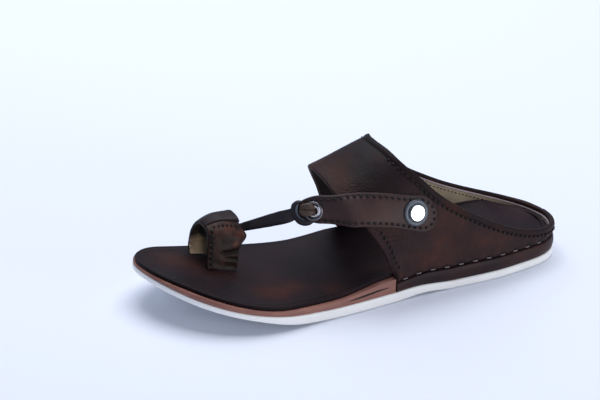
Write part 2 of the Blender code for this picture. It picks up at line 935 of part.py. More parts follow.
def hidden_cutter(name, centre, axis, radius, length):
    made = turned(name, ((0, -length / 2), (radius, -length / 2), (radius, length / 2), (0, length / 2)),
                  centre, axis, None)
    made.hide_render = True
    made.display_type = "WIRE"
    return made


def cut(target, cutter):
    modifier = target.modifiers.new("cut", "BOOLEAN")
    modifier.operation = "DIFFERENCE"
    modifier.object = cutter
    modifier.solver = "EXACT"


def side_strap(finish):
    centre, _, _, outward = strap_front()
    low = strap_grid(strap_seat_gap)
    high = strap_grid(strap_seat_gap + strap_thickness)
    sections = [list(inner) + list(outer[::-1]) for inner, outer in zip(low, high)]
    strap = loft("side_strap", sections, finish)
    hole_radius = eyelet_hole_diameter / 2 + eyelet_wall + gap
    cut(strap, hidden_cutter("eyelet_hole", centre, outward, hole_radius, 6 * strap_thickness))
    return strap


def eyelet(finish):
    centre, _, _, outward = strap_front()
    bore = eyelet_hole_diameter / 2
    barrel = bore + eyelet_wall
    flange = eyelet_outer_diameter / 2
    back = 0.0
    front = strap_seat_gap + strap_thickness + gap
    profile = (
        (bore, back - eyelet_flange),
        (flange - 0.0008, back - eyelet_flange),
        (flange - 0.0006, back),
        (barrel, back),
        (barrel, front),
        (flange - 0.0002, front),
        (flange, front + 0.4 * eyelet_flange),
        (flange - 0.0006, front + eyelet_flange),
        (bore + 0.0006, front + 1.15 * eyelet_flange),
        (bore, front + 0.5 * eyelet_flange),
    )
    return turned("eyelet", profile, centre, outward, finish)


def snap_seat(height):
    # A point over the strap at the snap, and the direction away from the foot
    along = snap_from_heel / sole_length
    climb = climb_for_height(-1, along, float(smooth_rows(strap_rows, along)))
    low = on_last(-1, along, climb, offset=strap_seat_gap + strap_thickness)
    axis = on_last(-1, along, climb, offset=1.0) - on_last(-1, along, climb)
    return low + axis * height, axis


def snap_washer(finish):
    centre, axis = snap_seat(gap)
    radius = washer_diameter / 2
    profile = (
        (0.0, 0.0),
        (radius - 0.0003, 0.0),
        (radius, 0.35 * washer_thickness),
        (radius - 0.0004, 0.85 * washer_thickness),
        (radius - 0.0012, washer_thickness),
        (0.0, washer_thickness),
    )
    return turned("snap_washer", profile, centre, axis, finish, 32)


def snap_cap(finish):
    centre, axis = snap_seat(gap + washer_thickness + gap)
    radius = cap_diameter / 2
    profile = (
        (0.0, 0.0),
        (radius - 0.0004, 0.0),
        (radius, 0.3 * cap_height),
        (radius - 0.0002, 0.65 * cap_height),
        (radius - 0.0010, 0.93 * cap_height),
        (0.5 * radius, cap_height),
        (0.0, cap_height),
    )
    return turned("snap_cap", profile, centre, axis, finish, 32)


def thong(finish):
    # Through the eyelet, over the strap's front end and down into the ring's near corner
    centre, forward, across, outward = strap_front()
    ring_y = ring_from_heel - heel_rest_from_back
    path, along_ring, off_ring = ring_path(ring_corner_row + np.array([-0.1, 0.0, 0.1]))
    inside = path[1] - off_ring[1] * (thong_clearance + thong_thickness / 2)
    back = ring_y - ring_lean - ring_width / 2
    ring_end = np.array([inside[0], back, footbed_top(ring_y) + inside[1]])
    up = np.array([along_ring[1][0], 0.0, along_ring[1][1]])
    over = strap_seat_gap + strap_thickness + thong_thickness
    route = [
        (centre - outward * 0.7 * over - forward * 0.3 * thong_clearance, across, 0.70),
        (centre - outward * 0.1 * over - forward * thong_clearance, across, 0.70),
        (centre + outward * 0.7 * over - forward * 0.6 * thong_clearance, across, 0.70),
        (centre + outward * 1.35 * over + forward * 0.27 * thong_lead, across, 0.95),
        (centre + outward * 1.2 * over + forward * 0.62 * thong_lead, across, 1.0),
    ]
    start = centre + outward * 0.6 * over + forward * thong_lead - np.array([0.0, 0.0, thong_drop])
    finish_point = ring_end + thong_clearance * np.array([-1.6, -2.8, 1.6])
    way = finish_point - start
    for share, rise, turn, width in thong_rows:
        place = start + way * share
        place[2] += rise * np.linalg.norm(way)
        route.append((place, across * (1 - turn) + up * turn, width))
    end_width = thong_rows[-1][3]
    route.append((ring_end + np.array([0.0, 0.06 * ring_width, 0.0]), up, end_width))
    route.append((ring_end + np.array([0.0, 0.35 * ring_width, 0.0]), up, end_width))
    count = len(route)
    per_span = 3
    stations = np.linspace(0, count - 1, per_span * (count - 1) + 1)
    points = natural_path([place for place, _, _ in route], per_span)
    broad = np.interp(stations, range(count), [width for _, _, width in route])
    widths = np.array([[np.interp(station, range(count), [side[k] for _, side, _ in route])
                        for k in range(3)] for station in stations])
    tangents = np.gradient(points, axis=0)
    sections = []
    for point, tangent, wide, share in zip(points, tangents, widths, broad):
        tangent = tangent / np.linalg.norm(tangent)
        wide = wide - tangent * wide.dot(tangent)
        wide /= np.linalg.norm(wide)
        thick = np.cross(tangent, wide)
        half_w = share * thong_width / 2
        half_t = thong_thickness / 2
        sections.append([
            point + wide * half_w * a + thick * half_t * b
            for a, b in ((-1, -0.6), (1, -0.6), (1, 0.6), (0.8, 1), (-0.8, 1), (-1, 0.6))
        ])
    return loft("thong", sections, finish)


brown_leather = material("upper_leather", (0.055, 0.026, 0.020), 0.48)
bed_leather = material("footbed_leather", (0.030, 0.018, 0.022), 0.50)
rand_leather = material("rand_leather", (0.045, 0.020, 0.017), 0.50)
board_finish = material("board", (0.38, 0.16, 0.10), 0.55)
rubber = material("outsole_rubber", (0.85, 0.86, 0.88), 0.45)
nickel = material("nickel", (0.72, 0.72, 0.74), 0.22, 1.0)
chrome = material("cap_chrome", (0.86, 0.88, 0.90), 0.10, 1.0)
washer_finish = material("washer_coating", (0.05, 0.065, 0.08), 0.40)

outsole(rubber)
midsole(board_finish)
footbed(bed_leather)
rand(rand_leather)
upper(brown_leather)
toe_ring(brown_leather)
side_strap(brown_leather)
eyelet(nickel)
snap_washer(washer_finish)
snap_cap(chrome)
thong(brown_leather)
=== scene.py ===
import math

import bmesh
import bpy
import numpy as np
from mathutils import Matrix, Vector, noise


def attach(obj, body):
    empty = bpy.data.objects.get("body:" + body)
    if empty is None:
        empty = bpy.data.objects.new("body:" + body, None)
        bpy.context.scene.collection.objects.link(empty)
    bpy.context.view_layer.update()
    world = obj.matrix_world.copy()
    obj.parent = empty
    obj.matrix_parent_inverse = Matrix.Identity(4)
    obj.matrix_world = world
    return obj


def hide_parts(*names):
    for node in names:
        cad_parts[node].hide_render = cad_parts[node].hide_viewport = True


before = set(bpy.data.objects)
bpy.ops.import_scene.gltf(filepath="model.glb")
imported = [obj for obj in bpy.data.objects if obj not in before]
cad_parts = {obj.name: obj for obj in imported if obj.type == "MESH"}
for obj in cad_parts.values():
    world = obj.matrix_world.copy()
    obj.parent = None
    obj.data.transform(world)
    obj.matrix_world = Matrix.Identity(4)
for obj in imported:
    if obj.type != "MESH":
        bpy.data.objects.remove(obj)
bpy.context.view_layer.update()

# Leather slipper for the left foot. Millimetres in the tables, metres in the meshes.
shoe = {
    "soleLength": 274.0, "heelWidth": 70.5, "ballWidth": 95.5, "restFromBack": 37.0,
    "outsole": 6.5, "outsoleRound": 1.68, "boardHeel": 9.2, "boardBall": 2.8, "boardRound": 0.4,
    "footbed": 2.3, "footbedRound": 0.6, "footbedDish": 1.3, "cup": 5.0, "cupReach": 0.4,
    "toeSpring": 20.0, "archLift": 1.2,
    "boardFrontInset": 0.5, "footbedClearance": 1.0, "upperInset": 1.0,
    "upperWall": 2.4, "instepHeight": 89.0, "instepFall": 0.400, "crestOffset": 3.0,
    "crestBack": 124.3, "crestFront": 161.0, "ridgeBack": 82.0, "footFront": 126.8, "footStep": 0.9,
    "randHeight": 7.3, "rearSeat": 1.2, "fullness": 2.3, "heelTurn": 0.03, "gap": 0.3,
}

outlineRows = [
    (0.0000, 0.038), (0.0073, 0.179), (0.0182, 0.275), (0.0365, 0.366), (0.0730, 0.450), (0.1277, 0.481),
    (0.1825, 0.474), (0.2555, 0.461), (0.3285, 0.456), (0.4015, 0.428), (0.4745, 0.428), (0.5474, 0.422),
    (0.6204, 0.431), (0.6752, 0.450), (0.7299, 0.466), (0.7847, 0.471), (0.8394, 0.464), (0.8759, 0.453),
    (0.9124, 0.435), (0.9562, 0.372), (0.9854, 0.277), (1.0000, 0.157), (0.9927, 0.021), (0.9745, -0.105),
    (0.9526, -0.209), (0.9307, -0.293), (0.9051, -0.366), (0.8759, -0.427), (0.8394, -0.481),
    (0.7847, -0.523), (0.7299, -0.532), (0.6752, -0.514), (0.6204, -0.497), (0.5474, -0.491),
    (0.4745, -0.502), (0.4015, -0.522), (0.3285, -0.544), (0.2555, -0.537), (0.1825, -0.514),
    (0.1277, -0.471), (0.0730, -0.413), (0.0365, -0.326), (0.0182, -0.234), (0.0073, -0.127),
]  # share of the length, share of the local width
boardRows = [(0, 0.62), (0.2, 0.68), (0.36, 0.84), (0.45, 0.93), (0.5, 0.86), (0.545, 0.58), (0.6, 0.24),
             (0.7, 0.10), (0.8, 0.0), (0.92, 0.0), (1.0, -0.18)]
footbedRows = [(0, 1), (0.48, 1), (0.54, 0.86), (0.6, 0.74), (0.7, 0.6), (0.78, 0.32), (0.85, 0.53),
               (0.92, 0.73), (0.97, 0.53), (1.0, 0.28)]
cupRows = [(0, 0), (0.05, 0.04), (0.08, 0.3), (0.12, 0.9), (0.18, 1.0), (0.3, 0.95), (0.4, 0.6), (0.5, 0.15),
           (0.56, 0), (1, 0)]
randRows = [(0, 0.9), (0.12, 0.97), (0.28, 1.0), (0.36, 0.92), (0.42, 0.85), (0.463, 0.78)]
spokeRows = [
    (-1, 2.000, 1.000, 1.000, 1.000), (-1, 1.993, 0.860, 0.983, 0.986), (-1, 1.949, 0.680, 0.949, 0.932),
    (-1, 1.761, 0.500, 0.904, 0.867), (-1, 1.515, 0.330, 0.857, 0.807), (-1, 1.338, 0.223, 0.809, 0.737),
    (-1, 1.219, 0.150, 0.758, 0.674), (-1, 1.124, 0.076, 0.713, 0.625), (-1, 1.038, 0.034, 0.690, 0.602),
    (-1, 1.003, 0.016, 0.668, 0.583), (-1, 1.000, 0.000, 0.645, 0.560), (-1, 0.929, 0.000, 0.591, 0.516),
    (-1, 0.843, 0.000, 0.535, 0.471), (-1, 0.735, 0.000, 0.475, 0.425), (-1, 0.605, 0.000, 0.407, 0.376),
    (-1, 0.465, 0.000, 0.332, 0.328), (-1, 0.335, 0.000, 0.253, 0.287), (-1, 0.216, 0.000, 0.173, 0.260),
    (-1, 0.119, 0.000, 0.101, 0.246), (-1, 0.052, 0.000, 0.046, 0.236), (-1, 0.013, 0.000, 0.012, 0.223),
    (1, 0.000, 0.000, 0.000, 0.211), (1, 0.013, 0.000, 0.012, 0.206), (1, 0.052, 0.000, 0.046, 0.208),
    (1, 0.119, 0.000, 0.101, 0.220), (1, 0.216, 0.000, 0.173, 0.247), (1, 0.335, 0.000, 0.253, 0.285),
    (1, 0.465, 0.000, 0.332, 0.328), (1, 0.605, 0.000, 0.407, 0.373), (1, 0.735, 0.000, 0.475, 0.417),
    (1, 0.843, 0.000, 0.535, 0.460), (1, 0.929, 0.000, 0.591, 0.502), (1, 1.000, 0.000, 0.645, 0.542),
    (1, 1.003, 0.016, 0.668, 0.560), (1, 1.081, 0.034, 0.690, 0.580), (1, 1.175, 0.076, 0.713, 0.607),
    (1, 1.313, 0.150, 0.758, 0.663), (1, 1.428, 0.230, 0.809, 0.735), (1, 1.537, 0.330, 0.857, 0.807),
    (1, 1.703, 0.480, 0.904, 0.867), (1, 1.870, 0.670, 0.949, 0.932), (1, 1.971, 0.850, 0.983, 0.986),
    (1, 2.000, 1.000, 1.000, 1.000),
]  # side, lower place, lower climb, collar place, collar height share


def linear(hexColour):  # sRGB hex to linear
    parts = [int(hexColour[i:i + 2], 16) / 255 for i in (1, 3, 5)]
    return tuple(c / 12.92 if c <= 0.04045 else ((c + 0.055) / 1.055) ** 2.4 for c in parts) + (1.0,)


def addNode(tree, kind, links=None, values=None, **settings):  # a node with its settings and links
    made = tree.nodes.new(kind)
    for key, value in settings.items():
        setattr(made, key, value)
    for key, value in (values or {}).items():
        made.inputs[key].default_value = value
    for key, source in (links or {}).items():
        tree.links.new(source, made.inputs[key])
    return made


def newFinish(name, **shaderValues):
    made = bpy.data.materials.new(name)
    made.use_nodes = True
    shader = made.node_tree.nodes["Principled BSDF"]
    for key, value in shaderValues.items():
        shader.inputs[key.replace("_", " ")].default_value = value
    return made, made.node_tree, shader


def ramp(tree, source, stops):  # colour ramp from (place, hex) stops
    made = addNode(tree, "ShaderNodeValToRGB", {"Fac": source})
    while len(made.color_ramp.elements) < len(stops):
        made.color_ramp.elements.new(0.5)
    for element, (place, colour) in zip(made.color_ramp.elements, stops):
        element.position = place
        element.color = linear(colour)
    return made.outputs["Color"]


def mixColours(tree, factor, a, b):
    made = addNode(tree, "ShaderNodeMix", data_type="RGBA", blend_type="MIX")
    for key, value in (("Factor", factor), ("A", a), ("B", b)):
        socket = next(s for s in made.inputs if s.name == key and s.enabled)
        if isinstance(value, (float, int, tuple)):
            socket.default_value = value
        else:
            tree.links.new(value, socket)
    return next(s for s in made.outputs if s.enabled)


def placeOn(tree):  # places on the piece, in metres
    return addNode(tree, "ShaderNodeTexCoord").outputs["Object"]


def noiseOf(tree, sizeMm, detail, **values):  # cloud whose spots are about sizeMm wide
    values = {"Scale": 1000 / sizeMm, "Detail": detail, **values}
    return addNode(tree, "ShaderNodeTexNoise", {"Vector": placeOn(tree)}, values).outputs["Fac"]


def fieldOf(tree, name):  # one of the mesh's own fields
    return addNode(tree, "ShaderNodeAttribute", attribute_name=name).outputs["Fac"]


def mathOf(tree, operation, links, values=None, **settings):
    return addNode(tree, "ShaderNodeMath", links, values, operation=operation, **settings).outputs[0]


def addBump(tree, shader, height, strength, distance):
    bump = addNode(tree, "ShaderNodeBump", {"Height": height}, {"Strength": strength, "Distance": distance})
    tree.links.new(bump.outputs["Normal"], shader.inputs["Normal"])


def spreadRoughness(tree, shader, source, span, roughness):  # roughness follows a cloud
    made = addNode(tree, "ShaderNodeMapRange", {"Value": source},
                   {"From Min": span[0], "From Max": span[1], "To Min": roughness[0], "To Max": roughness[1]})
    tree.links.new(made.outputs["Result"], shader.inputs["Roughness"])


def leatherFinish(name, look):
    # Drum-dyed cowhide, embossed and waxed: mottled browns, pebbled grain, soft broken sheen
    made, tree, shader = newFinish(name, Roughness=look["rough"], Specular_IOR_Level=look["specular"],
                                   Coat_Weight=look["wax"], Coat_Roughness=0.34)
    cloud = noiseOf(tree, look["cloudMm"], 4.0, Roughness=0.6)
    mottled = ramp(tree, cloud, look["browns"])
    broken = mathOf(tree, "MULTIPLY", {0: fieldOf(tree, "warm"), 1: noiseOf(tree, look["breakMm"], 5.0)})
    lifted = mathOf(tree, "MULTIPLY", {0: broken}, {1: 1.7}, use_clamp=True)
    warm = mixColours(tree, lifted, mottled, linear(look["warm"]))
    # The dark field mixes in the deep colour: painted shade in grooves, creases, undersides and tucked ends,
    # and a darker footbed toward the toe
    shaded = mixColours(tree, fieldOf(tree, "dark"), warm, linear(look["deep"]))
    tree.links.new(shaded, shader.inputs["Base Color"])
    pebble = addNode(tree, "ShaderNodeTexVoronoi", {"Vector": placeOn(tree)},
                     {"Scale": 1000 / look["grainMm"], "Randomness": 0.9}, feature="SMOOTH_F1")
    depth = mathOf(tree, "MULTIPLY_ADD", {0: fieldOf(tree, "coarse")},
                   {1: look["coarseDepth"], 2: look["grainDepth"]})
    grain = mathOf(tree, "MULTIPLY", {0: pebble.outputs["Distance"], 1: depth})
    pores = noiseOf(tree, look["poreMm"], 3.0)
    height = mathOf(tree, "MULTIPLY_ADD", {0: pores, 2: grain}, {1: look["poreDepth"]})
    addBump(tree, shader, height, 1.0, 0.001)
    spreadRoughness(tree, shader, cloud, (0.3, 0.7), (look["rough"] - 0.07, look["rough"] + 0.09))
    return made


def smoothRows(table, at):  # monotone cubic through rows of (place, value)
    xs, ys = np.array(table, float).T
    steps = np.diff(xs)
    slopes = np.diff(ys) / steps
    tangents = np.zeros(len(xs))
    for i in range(1, len(xs) - 1):
        if slopes[i - 1] * slopes[i] > 0:
            a, b = 2 * steps[i] + steps[i - 1], steps[i] + 2 * steps[i - 1]
            tangents[i] = (a + b) / (a / slopes[i - 1] + b / slopes[i])
    at = np.clip(np.asarray(at, float), xs[0], xs[-1])
    i = np.clip(np.searchsorted(xs, at, side="right") - 1, 0, len(xs) - 2)
    h = steps[i]
    t = (at - xs[i]) / h
    return (ys[i] * (1 + 2 * t) * (1 - t) ** 2 + ys[i + 1] * t * t * (3 - 2 * t)
            + tangents[i] * h * t * (1 - t) ** 2 - tangents[i + 1] * h * t * t * (1 - t))


def closedSpline(points, perSpan):  # periodic cubic spline
    p = np.asarray(points, float)
    count = len(p)
    after = np.roll(p, -1, axis=0)
    h = np.linalg.norm(after - p, axis=1)
    slope = (after - p) / h[:, None]
    system = np.zeros((count, count))
    for i in range(count):
        system[i, i - 1] = h[i - 1]
        system[i, i] = 2 * (h[i - 1] + h[i])
        system[i, (i + 1) % count] = h[i]
    bend = np.linalg.solve(system, 6 * (slope - np.roll(slope, 1, axis=0)))
    bendAfter = np.roll(bend, -1, axis=0)
    found = []
    for i in range(count):
        for share in np.arange(perSpan) / perSpan:
            a, b = h[i] * (1 - share), h[i] * share
            found.append((bend[i] * a**3 + bendAfter[i] * b**3) / (6 * h[i])
                         + (p[i] / h[i] - bend[i] * h[i] / 6) * a
                         + (after[i] / h[i] - bendAfter[i] * h[i] / 6) * b)
    return np.array(found)


def localWidth(along):
    blend = np.clip((np.asarray(along) - 0.30) / 0.32, 0, 1)
    return shoe["heelWidth"] + (shoe["ballWidth"] - shoe["heelWidth"]) * blend * blend * (3 - 2 * blend)


def makeOutline():  # inner and outer halves of the sole's edge with their outward directions
    table = np.array(outlineRows)
    curve = closedSpline(np.c_[table[:, 1] * localWidth(table[:, 0]), table[:, 0] * shoe["soleLength"]], 60)
    curve = np.roll(curve, -int(curve[:, 1].argmin()), axis=0)
    curve[:, 1] -= curve[0, 1]
    curve[:, 1] *= shoe["soleLength"] / curve[:, 1].max()
    tangent = np.roll(curve, -1, axis=0) - np.roll(curve, 1, axis=0)
    tangent /= np.linalg.norm(tangent, axis=1)[:, None]
    normal = np.c_[tangent[:, 1], -tangent[:, 0]]
    toe = int(curve[:, 1].argmax())
    last = np.r_[np.arange(toe, len(curve)), 0][::-1]
    return {1: (curve[:toe + 1], normal[:toe + 1]), -1: (curve[last], normal[last])}


outlineHalves = makeOutline()


def edge(side, distance, inset=0.0):  # plan points on the inner (1) or outer (-1) side
    side, distance, inset = np.broadcast_arrays(side, np.asarray(distance, float), np.asarray(inset, float))
    distance = np.clip(distance, 0, shoe["soleLength"])
    found = np.zeros(distance.shape + (2,))
    for which, (curve, normal) in outlineHalves.items():
        xy = np.stack([np.interp(distance, curve[:, 1], curve[:, k]) for k in (0, 1)], axis=-1)
        out = np.stack([np.interp(distance, curve[:, 1], normal[:, k]) for k in (0, 1)], axis=-1)
        out /= np.linalg.norm(out, axis=-1)[..., None]
        xy = xy - out * inset[..., None]
        found = np.where((side == which)[..., None], xy, found)
    found[..., 1] -= shoe["restFromBack"]
    return found


def shareOf(y):
    return (np.asarray(y, float) + shoe["restFromBack"]) / shoe["soleLength"]


def lift(y):  # underside of the sole above the floor
    along = shareOf(y)
    spring = shoe["toeSpring"] * np.clip((along - 0.60) / 0.40, 0, None) ** 1.9
    return spring + shoe["archLift"] * np.sin(np.pi * np.clip((along - 0.31) / 0.16, 0, 1)) ** 2


def deckHeight(y):
    return lift(y) + shoe["outsole"]


def rubberTop(y):  # the rubber's top edge sits a little lower behind the foot's front
    share = np.clip((0.46 - shareOf(y)) / 0.1, 0, 1)
    return deckHeight(y) - shoe["rearSeat"] * share * share * (3 - 2 * share)


def boardTop(y):
    share = smoothRows(boardRows, shareOf(y))
    return deckHeight(y) + shoe["gap"] + shoe["boardBall"] + (shoe["boardHeel"] - shoe["boardBall"]) * share


def footbedTop(y):
    return boardTop(y) + shoe["gap"] + shoe["footbed"]


def randTop(y):
    return deckHeight(y) + shoe["gap"] + shoe["randHeight"] * smoothRows(randRows, shareOf(y))


def ridgePlace(y):
    return np.maximum(y, shoe["ridgeBack"] - shoe["restFromBack"])


def instepLine(y):
    return shoe["instepHeight"] - shoe["instepFall"] * (y - (shoe["crestBack"] - shoe["restFromBack"]))


def lastPoint(side, along, climb):
    xy = edge(side, along * shoe["soleLength"], shoe["upperInset"])
    x, y = xy[..., 0], xy[..., 1]
    ridgeY, base, angle = ridgePlace(y), randTop(y) + shoe["gap"], climb * math.pi / 2
    across = np.maximum(np.cos(angle), 0) ** (2 / shoe["fullness"])
    up = np.maximum(np.sin(angle), 0) ** (2 / shoe["fullness"])
    return np.stack([shoe["crestOffset"] + (x - shoe["crestOffset"]) * across, ridgeY + (y - ridgeY) * across,
                     base + (instepLine(ridgeY) - base) * up], axis=-1)


def lastNormal(side, along, climb):
    side, along, climb = np.broadcast_arrays(side, np.asarray(along, float), np.asarray(climb, float))
    step = 0.004
    fore = lastPoint(side, along + step, climb) - lastPoint(side, along - step, climb)
    above, below = np.minimum(climb + step, 1), np.maximum(climb - step, 0)
    rise = lastPoint(side, along, above) - lastPoint(side, along, below)
    normal = np.cross(fore, rise) * side[..., None]
    crest = np.cross(np.stack([side, 0 * side, 0 * side], axis=-1).astype(float), fore) * side[..., None]
    normal = np.where((climb > 1 - step)[..., None], crest, normal)
    plan = edge(side, along * shoe["soleLength"]) - edge(side, along * shoe["soleLength"], 1.0)
    plan = np.concatenate([plan, np.zeros(plan.shape[:-1] + (1,))], axis=-1)
    normal = np.where((along < shoe["heelTurn"])[..., None], plan, normal)
    normal[..., 2] = np.where(climb < 0.01, 0.0, normal[..., 2])
    return normal / np.linalg.norm(normal, axis=-1)[..., None]


def onLast(side, along, climb, offset=0.0):
    outward = lastNormal(side, along, climb) * np.asarray(offset, float)[..., None]
    return lastPoint(side, along, climb) + outward


def climbForHeight(along, share):  # where the last stands a share of the instep height above the floor
    y = np.asarray(along, float) * shoe["soleLength"] - shoe["restFromBack"]
    base = randTop(y) + shoe["gap"]
    total = instepLine(ridgePlace(y)) - base
    ratio = np.clip((share * shoe["instepHeight"] - base) / total, 0, 1)
    return np.arcsin(ratio ** (shoe["fullness"] / 2)) * 2 / math.pi


def waves(points, scale, strength, seed):  # soft unevenness, points in mm
    shift = Vector((seed, seed * 1.7, 3.1))
    return strength * np.array([noise.noise(Vector(p) / scale + shift) for p in points])


def unit(v):
    v = np.asarray(v, float)
    return v / np.linalg.norm(v, axis=-1)[..., None]


def addPiece(name, points, faces, finishes, replaces=(), zones=None, fields=None, sharp=50):
    mesh = bpy.data.meshes.new(name)
    mesh.from_pydata([tuple(p) for p in (np.asarray(points, float) / 1000).tolist()], [], faces)
    for finish in finishes:
        mesh.materials.append(finish)
    if zones is not None:
        mesh.polygons.foreach_set("material_index", zones)
    for field, values in (fields or {}).items():
        layer = mesh.attributes.new(field, "FLOAT", "POINT")
        layer.data.foreach_set("value", np.asarray(values, np.float32))
    mesh.validate()
    shaped = bmesh.new()
    shaped.from_mesh(mesh)
    bmesh.ops.recalc_face_normals(shaped, faces=shaped.faces)
    shaped.to_mesh(mesh)
    shaped.free()
    made = bpy.data.objects.new(name, mesh)
    bpy.context.scene.collection.objects.link(made)
    mesh.shade_smooth()
    mesh.set_sharp_from_angle(angle=math.radians(sharp))
    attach(made, "root")
    if replaces:
        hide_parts(*replaces)
    return made


def gridFaces(rows, columns, closedRows=False, closedColumns=False, start=0):
    faces = []
    for i in range(rows if closedRows else rows - 1):
        for k in range(columns if closedColumns else columns - 1):
            a, b = start + i * columns + k, start + i * columns + (k + 1) % columns
            c, d = start + (i + 1) % rows * columns + (k + 1) % columns, start + (i + 1) % rows * columns + k
            faces.append((a, b, c, d))
    return faces


def loftFaces(rows, per, start=0):  # an open run of closed sections with both ends capped
    faces = gridFaces(rows, per, closedColumns=True, start=start)
    faces.append(tuple(start + k for k in reversed(range(per))))
    faces.append(tuple(start + (rows - 1) * per + k for k in range(per)))
    return faces


def naturalPath(points, perSpan):  # smooth path, slopes by distance walked
    p = np.asarray(points, float)
    walked = np.r_[0.0, np.cumsum(np.linalg.norm(np.diff(p, axis=0), axis=1))]
    slopes = np.gradient(p, walked, axis=0)
    path = []
    for i in range(len(p) - 1):
        h = walked[i + 1] - walked[i]
        for t in np.arange(perSpan) / perSpan:
            path.append(p[i] * (1 + 2 * t) * (1 - t) ** 2 + p[i + 1] * t * t * (3 - 2 * t)
                        + slopes[i] * h * t * (1 - t) ** 2 - slopes[i + 1] * h * t * t * (1 - t))
    path.append(p[-1])
    return np.array(path)


def sweep(path, wideDirections, outline, widths, heights, capped=True):
    # Carries a closed outline of (across, up) along a path; returns points and faces
    path = np.asarray(path, float)
    tangents = unit(np.gradient(path, axis=0))
    points = []
    for p, tangent, wide, w, h in zip(path, tangents, wideDirections, widths, heights):
        wide = unit(wide - tangent * np.dot(wide, tangent))
        thick = np.cross(tangent, wide)
        points += [p + wide * a * w / 2 + thick * b * h / 2 for a, b in outline]
    if capped:
        return points, loftFaces(len(path), len(outline))
    return points, gridFaces(len(path), len(outline), closedColumns=True)


threadRows = [(0, -0.55, 0.7), (0.18, 0.15, 1.0), (0.5, 0.32, 1.0), (0.82, 0.15, 1.0), (1, -0.55, 0.7)]
threadSides = 6  # each row is share of the length, rise and size in shares of the thickness


def threadRun(spans, thickness, lifted=0.5):
    # Joined short threads; each span is (start, end, outward)
    points, faces = [], []
    for start, end, outward in spans:
        start, end, outward = np.asarray(start), np.asarray(end), unit(outward)
        way = end - start
        side = unit(np.cross(way, outward))
        faces += loftFaces(len(threadRows), threadSides, len(points))
        for share, rise, size in threadRows:
            centre = start + way * share + outward * thickness * (rise + lifted - 0.5)
            for corner in range(threadSides):
                turn = corner * math.pi / 3
                spoke = side * math.cos(turn) + outward * math.sin(turn)
                points.append(centre + spoke * thickness / 2 * size)
    return points, faces


print("shape functions ready")

# Materials

browns = {
    "upper": {"browns": [(0.3, "#1f1519"), (0.45, "#2a1b1d"), (0.56, "#362120"), (0.7, "#482b22")],
              "warm": "#4c2a20", "deep": "#0b0709", "cloudMm": 24, "breakMm": 7,
              "grainMm": 1.25, "poreMm": 0.5,
              "grainDepth": 0.12, "coarseDepth": 0.5, "poreDepth": 0.08,
              "rough": 0.55, "specular": 0.12, "wax": 0.01},
    "strap": {"browns": [(0.25, "#2c1f20"), (0.5, "#3a2929"), (0.8, "#4a3430")],
              "warm": "#4f3028", "deep": "#0f0a0b", "cloudMm": 18, "breakMm": 6,
              "grainMm": 1.1, "poreMm": 0.5,
              "grainDepth": 0.08, "coarseDepth": 0.3, "poreDepth": 0.07,
              "rough": 0.50, "specular": 0.22, "wax": 0.02},
    "ring": {"browns": [(0.3, "#211615"), (0.5, "#33221f"), (0.7, "#493229")],
             "warm": "#74371f", "deep": "#090606", "cloudMm": 9, "breakMm": 4,
             "grainMm": 1.2, "poreMm": 0.5,
             "grainDepth": 0.12, "coarseDepth": 0.3, "poreDepth": 0.07,
             "rough": 0.48, "specular": 0.15, "wax": 0.02},
    "flap": {"browns": [(0.25, "#170f11"), (0.5, "#201416"), (0.8, "#2a1a1a")],
             "warm": "#54382f", "deep": "#100b0c", "cloudMm": 10, "breakMm": 4,
             "grainMm": 1.0, "poreMm": 0.5,
             "grainDepth": 0.06, "coarseDepth": 0.2, "poreDepth": 0.04,
             "rough": 0.46, "specular": 0.14, "wax": 0.02},
    "rand": {"browns": [(0.25, "#1c1215"), (0.5, "#25181b"), (0.8, "#312021")],
             "warm": "#4a2c23", "deep": "#0b0708", "cloudMm": 20, "breakMm": 6,
             "grainMm": 1.2, "poreMm": 0.5,
             "grainDepth": 0.06, "coarseDepth": 0.2, "poreDepth": 0.05,
             "rough": 0.48, "specular": 0.15, "wax": 0.02},
    "footbed": {"browns": [(0.3, "#150c0f"), (0.5, "#1e1318"), (0.7, "#2c1b1f")],
                "warm": "#54261b", "deep": "#0d0507", "cloudMm": 32, "breakMm": 9,
                "grainMm": 1.0, "poreMm": 0.45,
                "grainDepth": 0.10, "coarseDepth": 0.2, "poreDepth": 0.08,
                "rough": 0.54, "specular": 0.11, "wax": 0.01},
    "thong": {"browns": [(0.25, "#161216"), (0.5, "#1f1a1f"), (0.8, "#2b2328")],
              "warm": "#3a2a24", "deep": "#070506", "cloudMm": 9, "breakMm": 4,
              "grainMm": 1.0, "poreMm": 0.5,
              "grainDepth": 0.08, "coarseDepth": 0.2, "poreDepth": 0.06,
              "rough": 0.45, "specular": 0.34, "wax": 0.03},
    "lace": {"browns": [(0.25, "#352722"), (0.5, "#4a3b33"), (0.8, "#63524a")],
             "warm": "#45281f", "deep": "#160d0b", "cloudMm": 5, "breakMm": 3,
             "grainMm": 0.9, "poreMm": 0.4,
             "grainDepth": 0.08, "coarseDepth": 0.2, "poreDepth": 0.06,
             "rough": 0.5, "specular": 0.3, "wax": 0.02},
}
upperLeather = leatherFinish("pebbledCowhideUpper", browns["upper"])
strapLeather = leatherFinish("smoothCowhideStrap", browns["strap"])
ringLeather = leatherFinish("softCowhideRing", browns["ring"])
flapLeather = leatherFinish("polishedCowhideFlap", browns["flap"])
randLeather = leatherFinish("smoothCowhideRand", browns["rand"])
footbedLeather = leatherFinish("insoleLeather", browns["footbed"])
thongLeather = leatherFinish("thongLeather", browns["thong"])
laceLeather = leatherFinish("rawLaceLeather", browns["lace"])


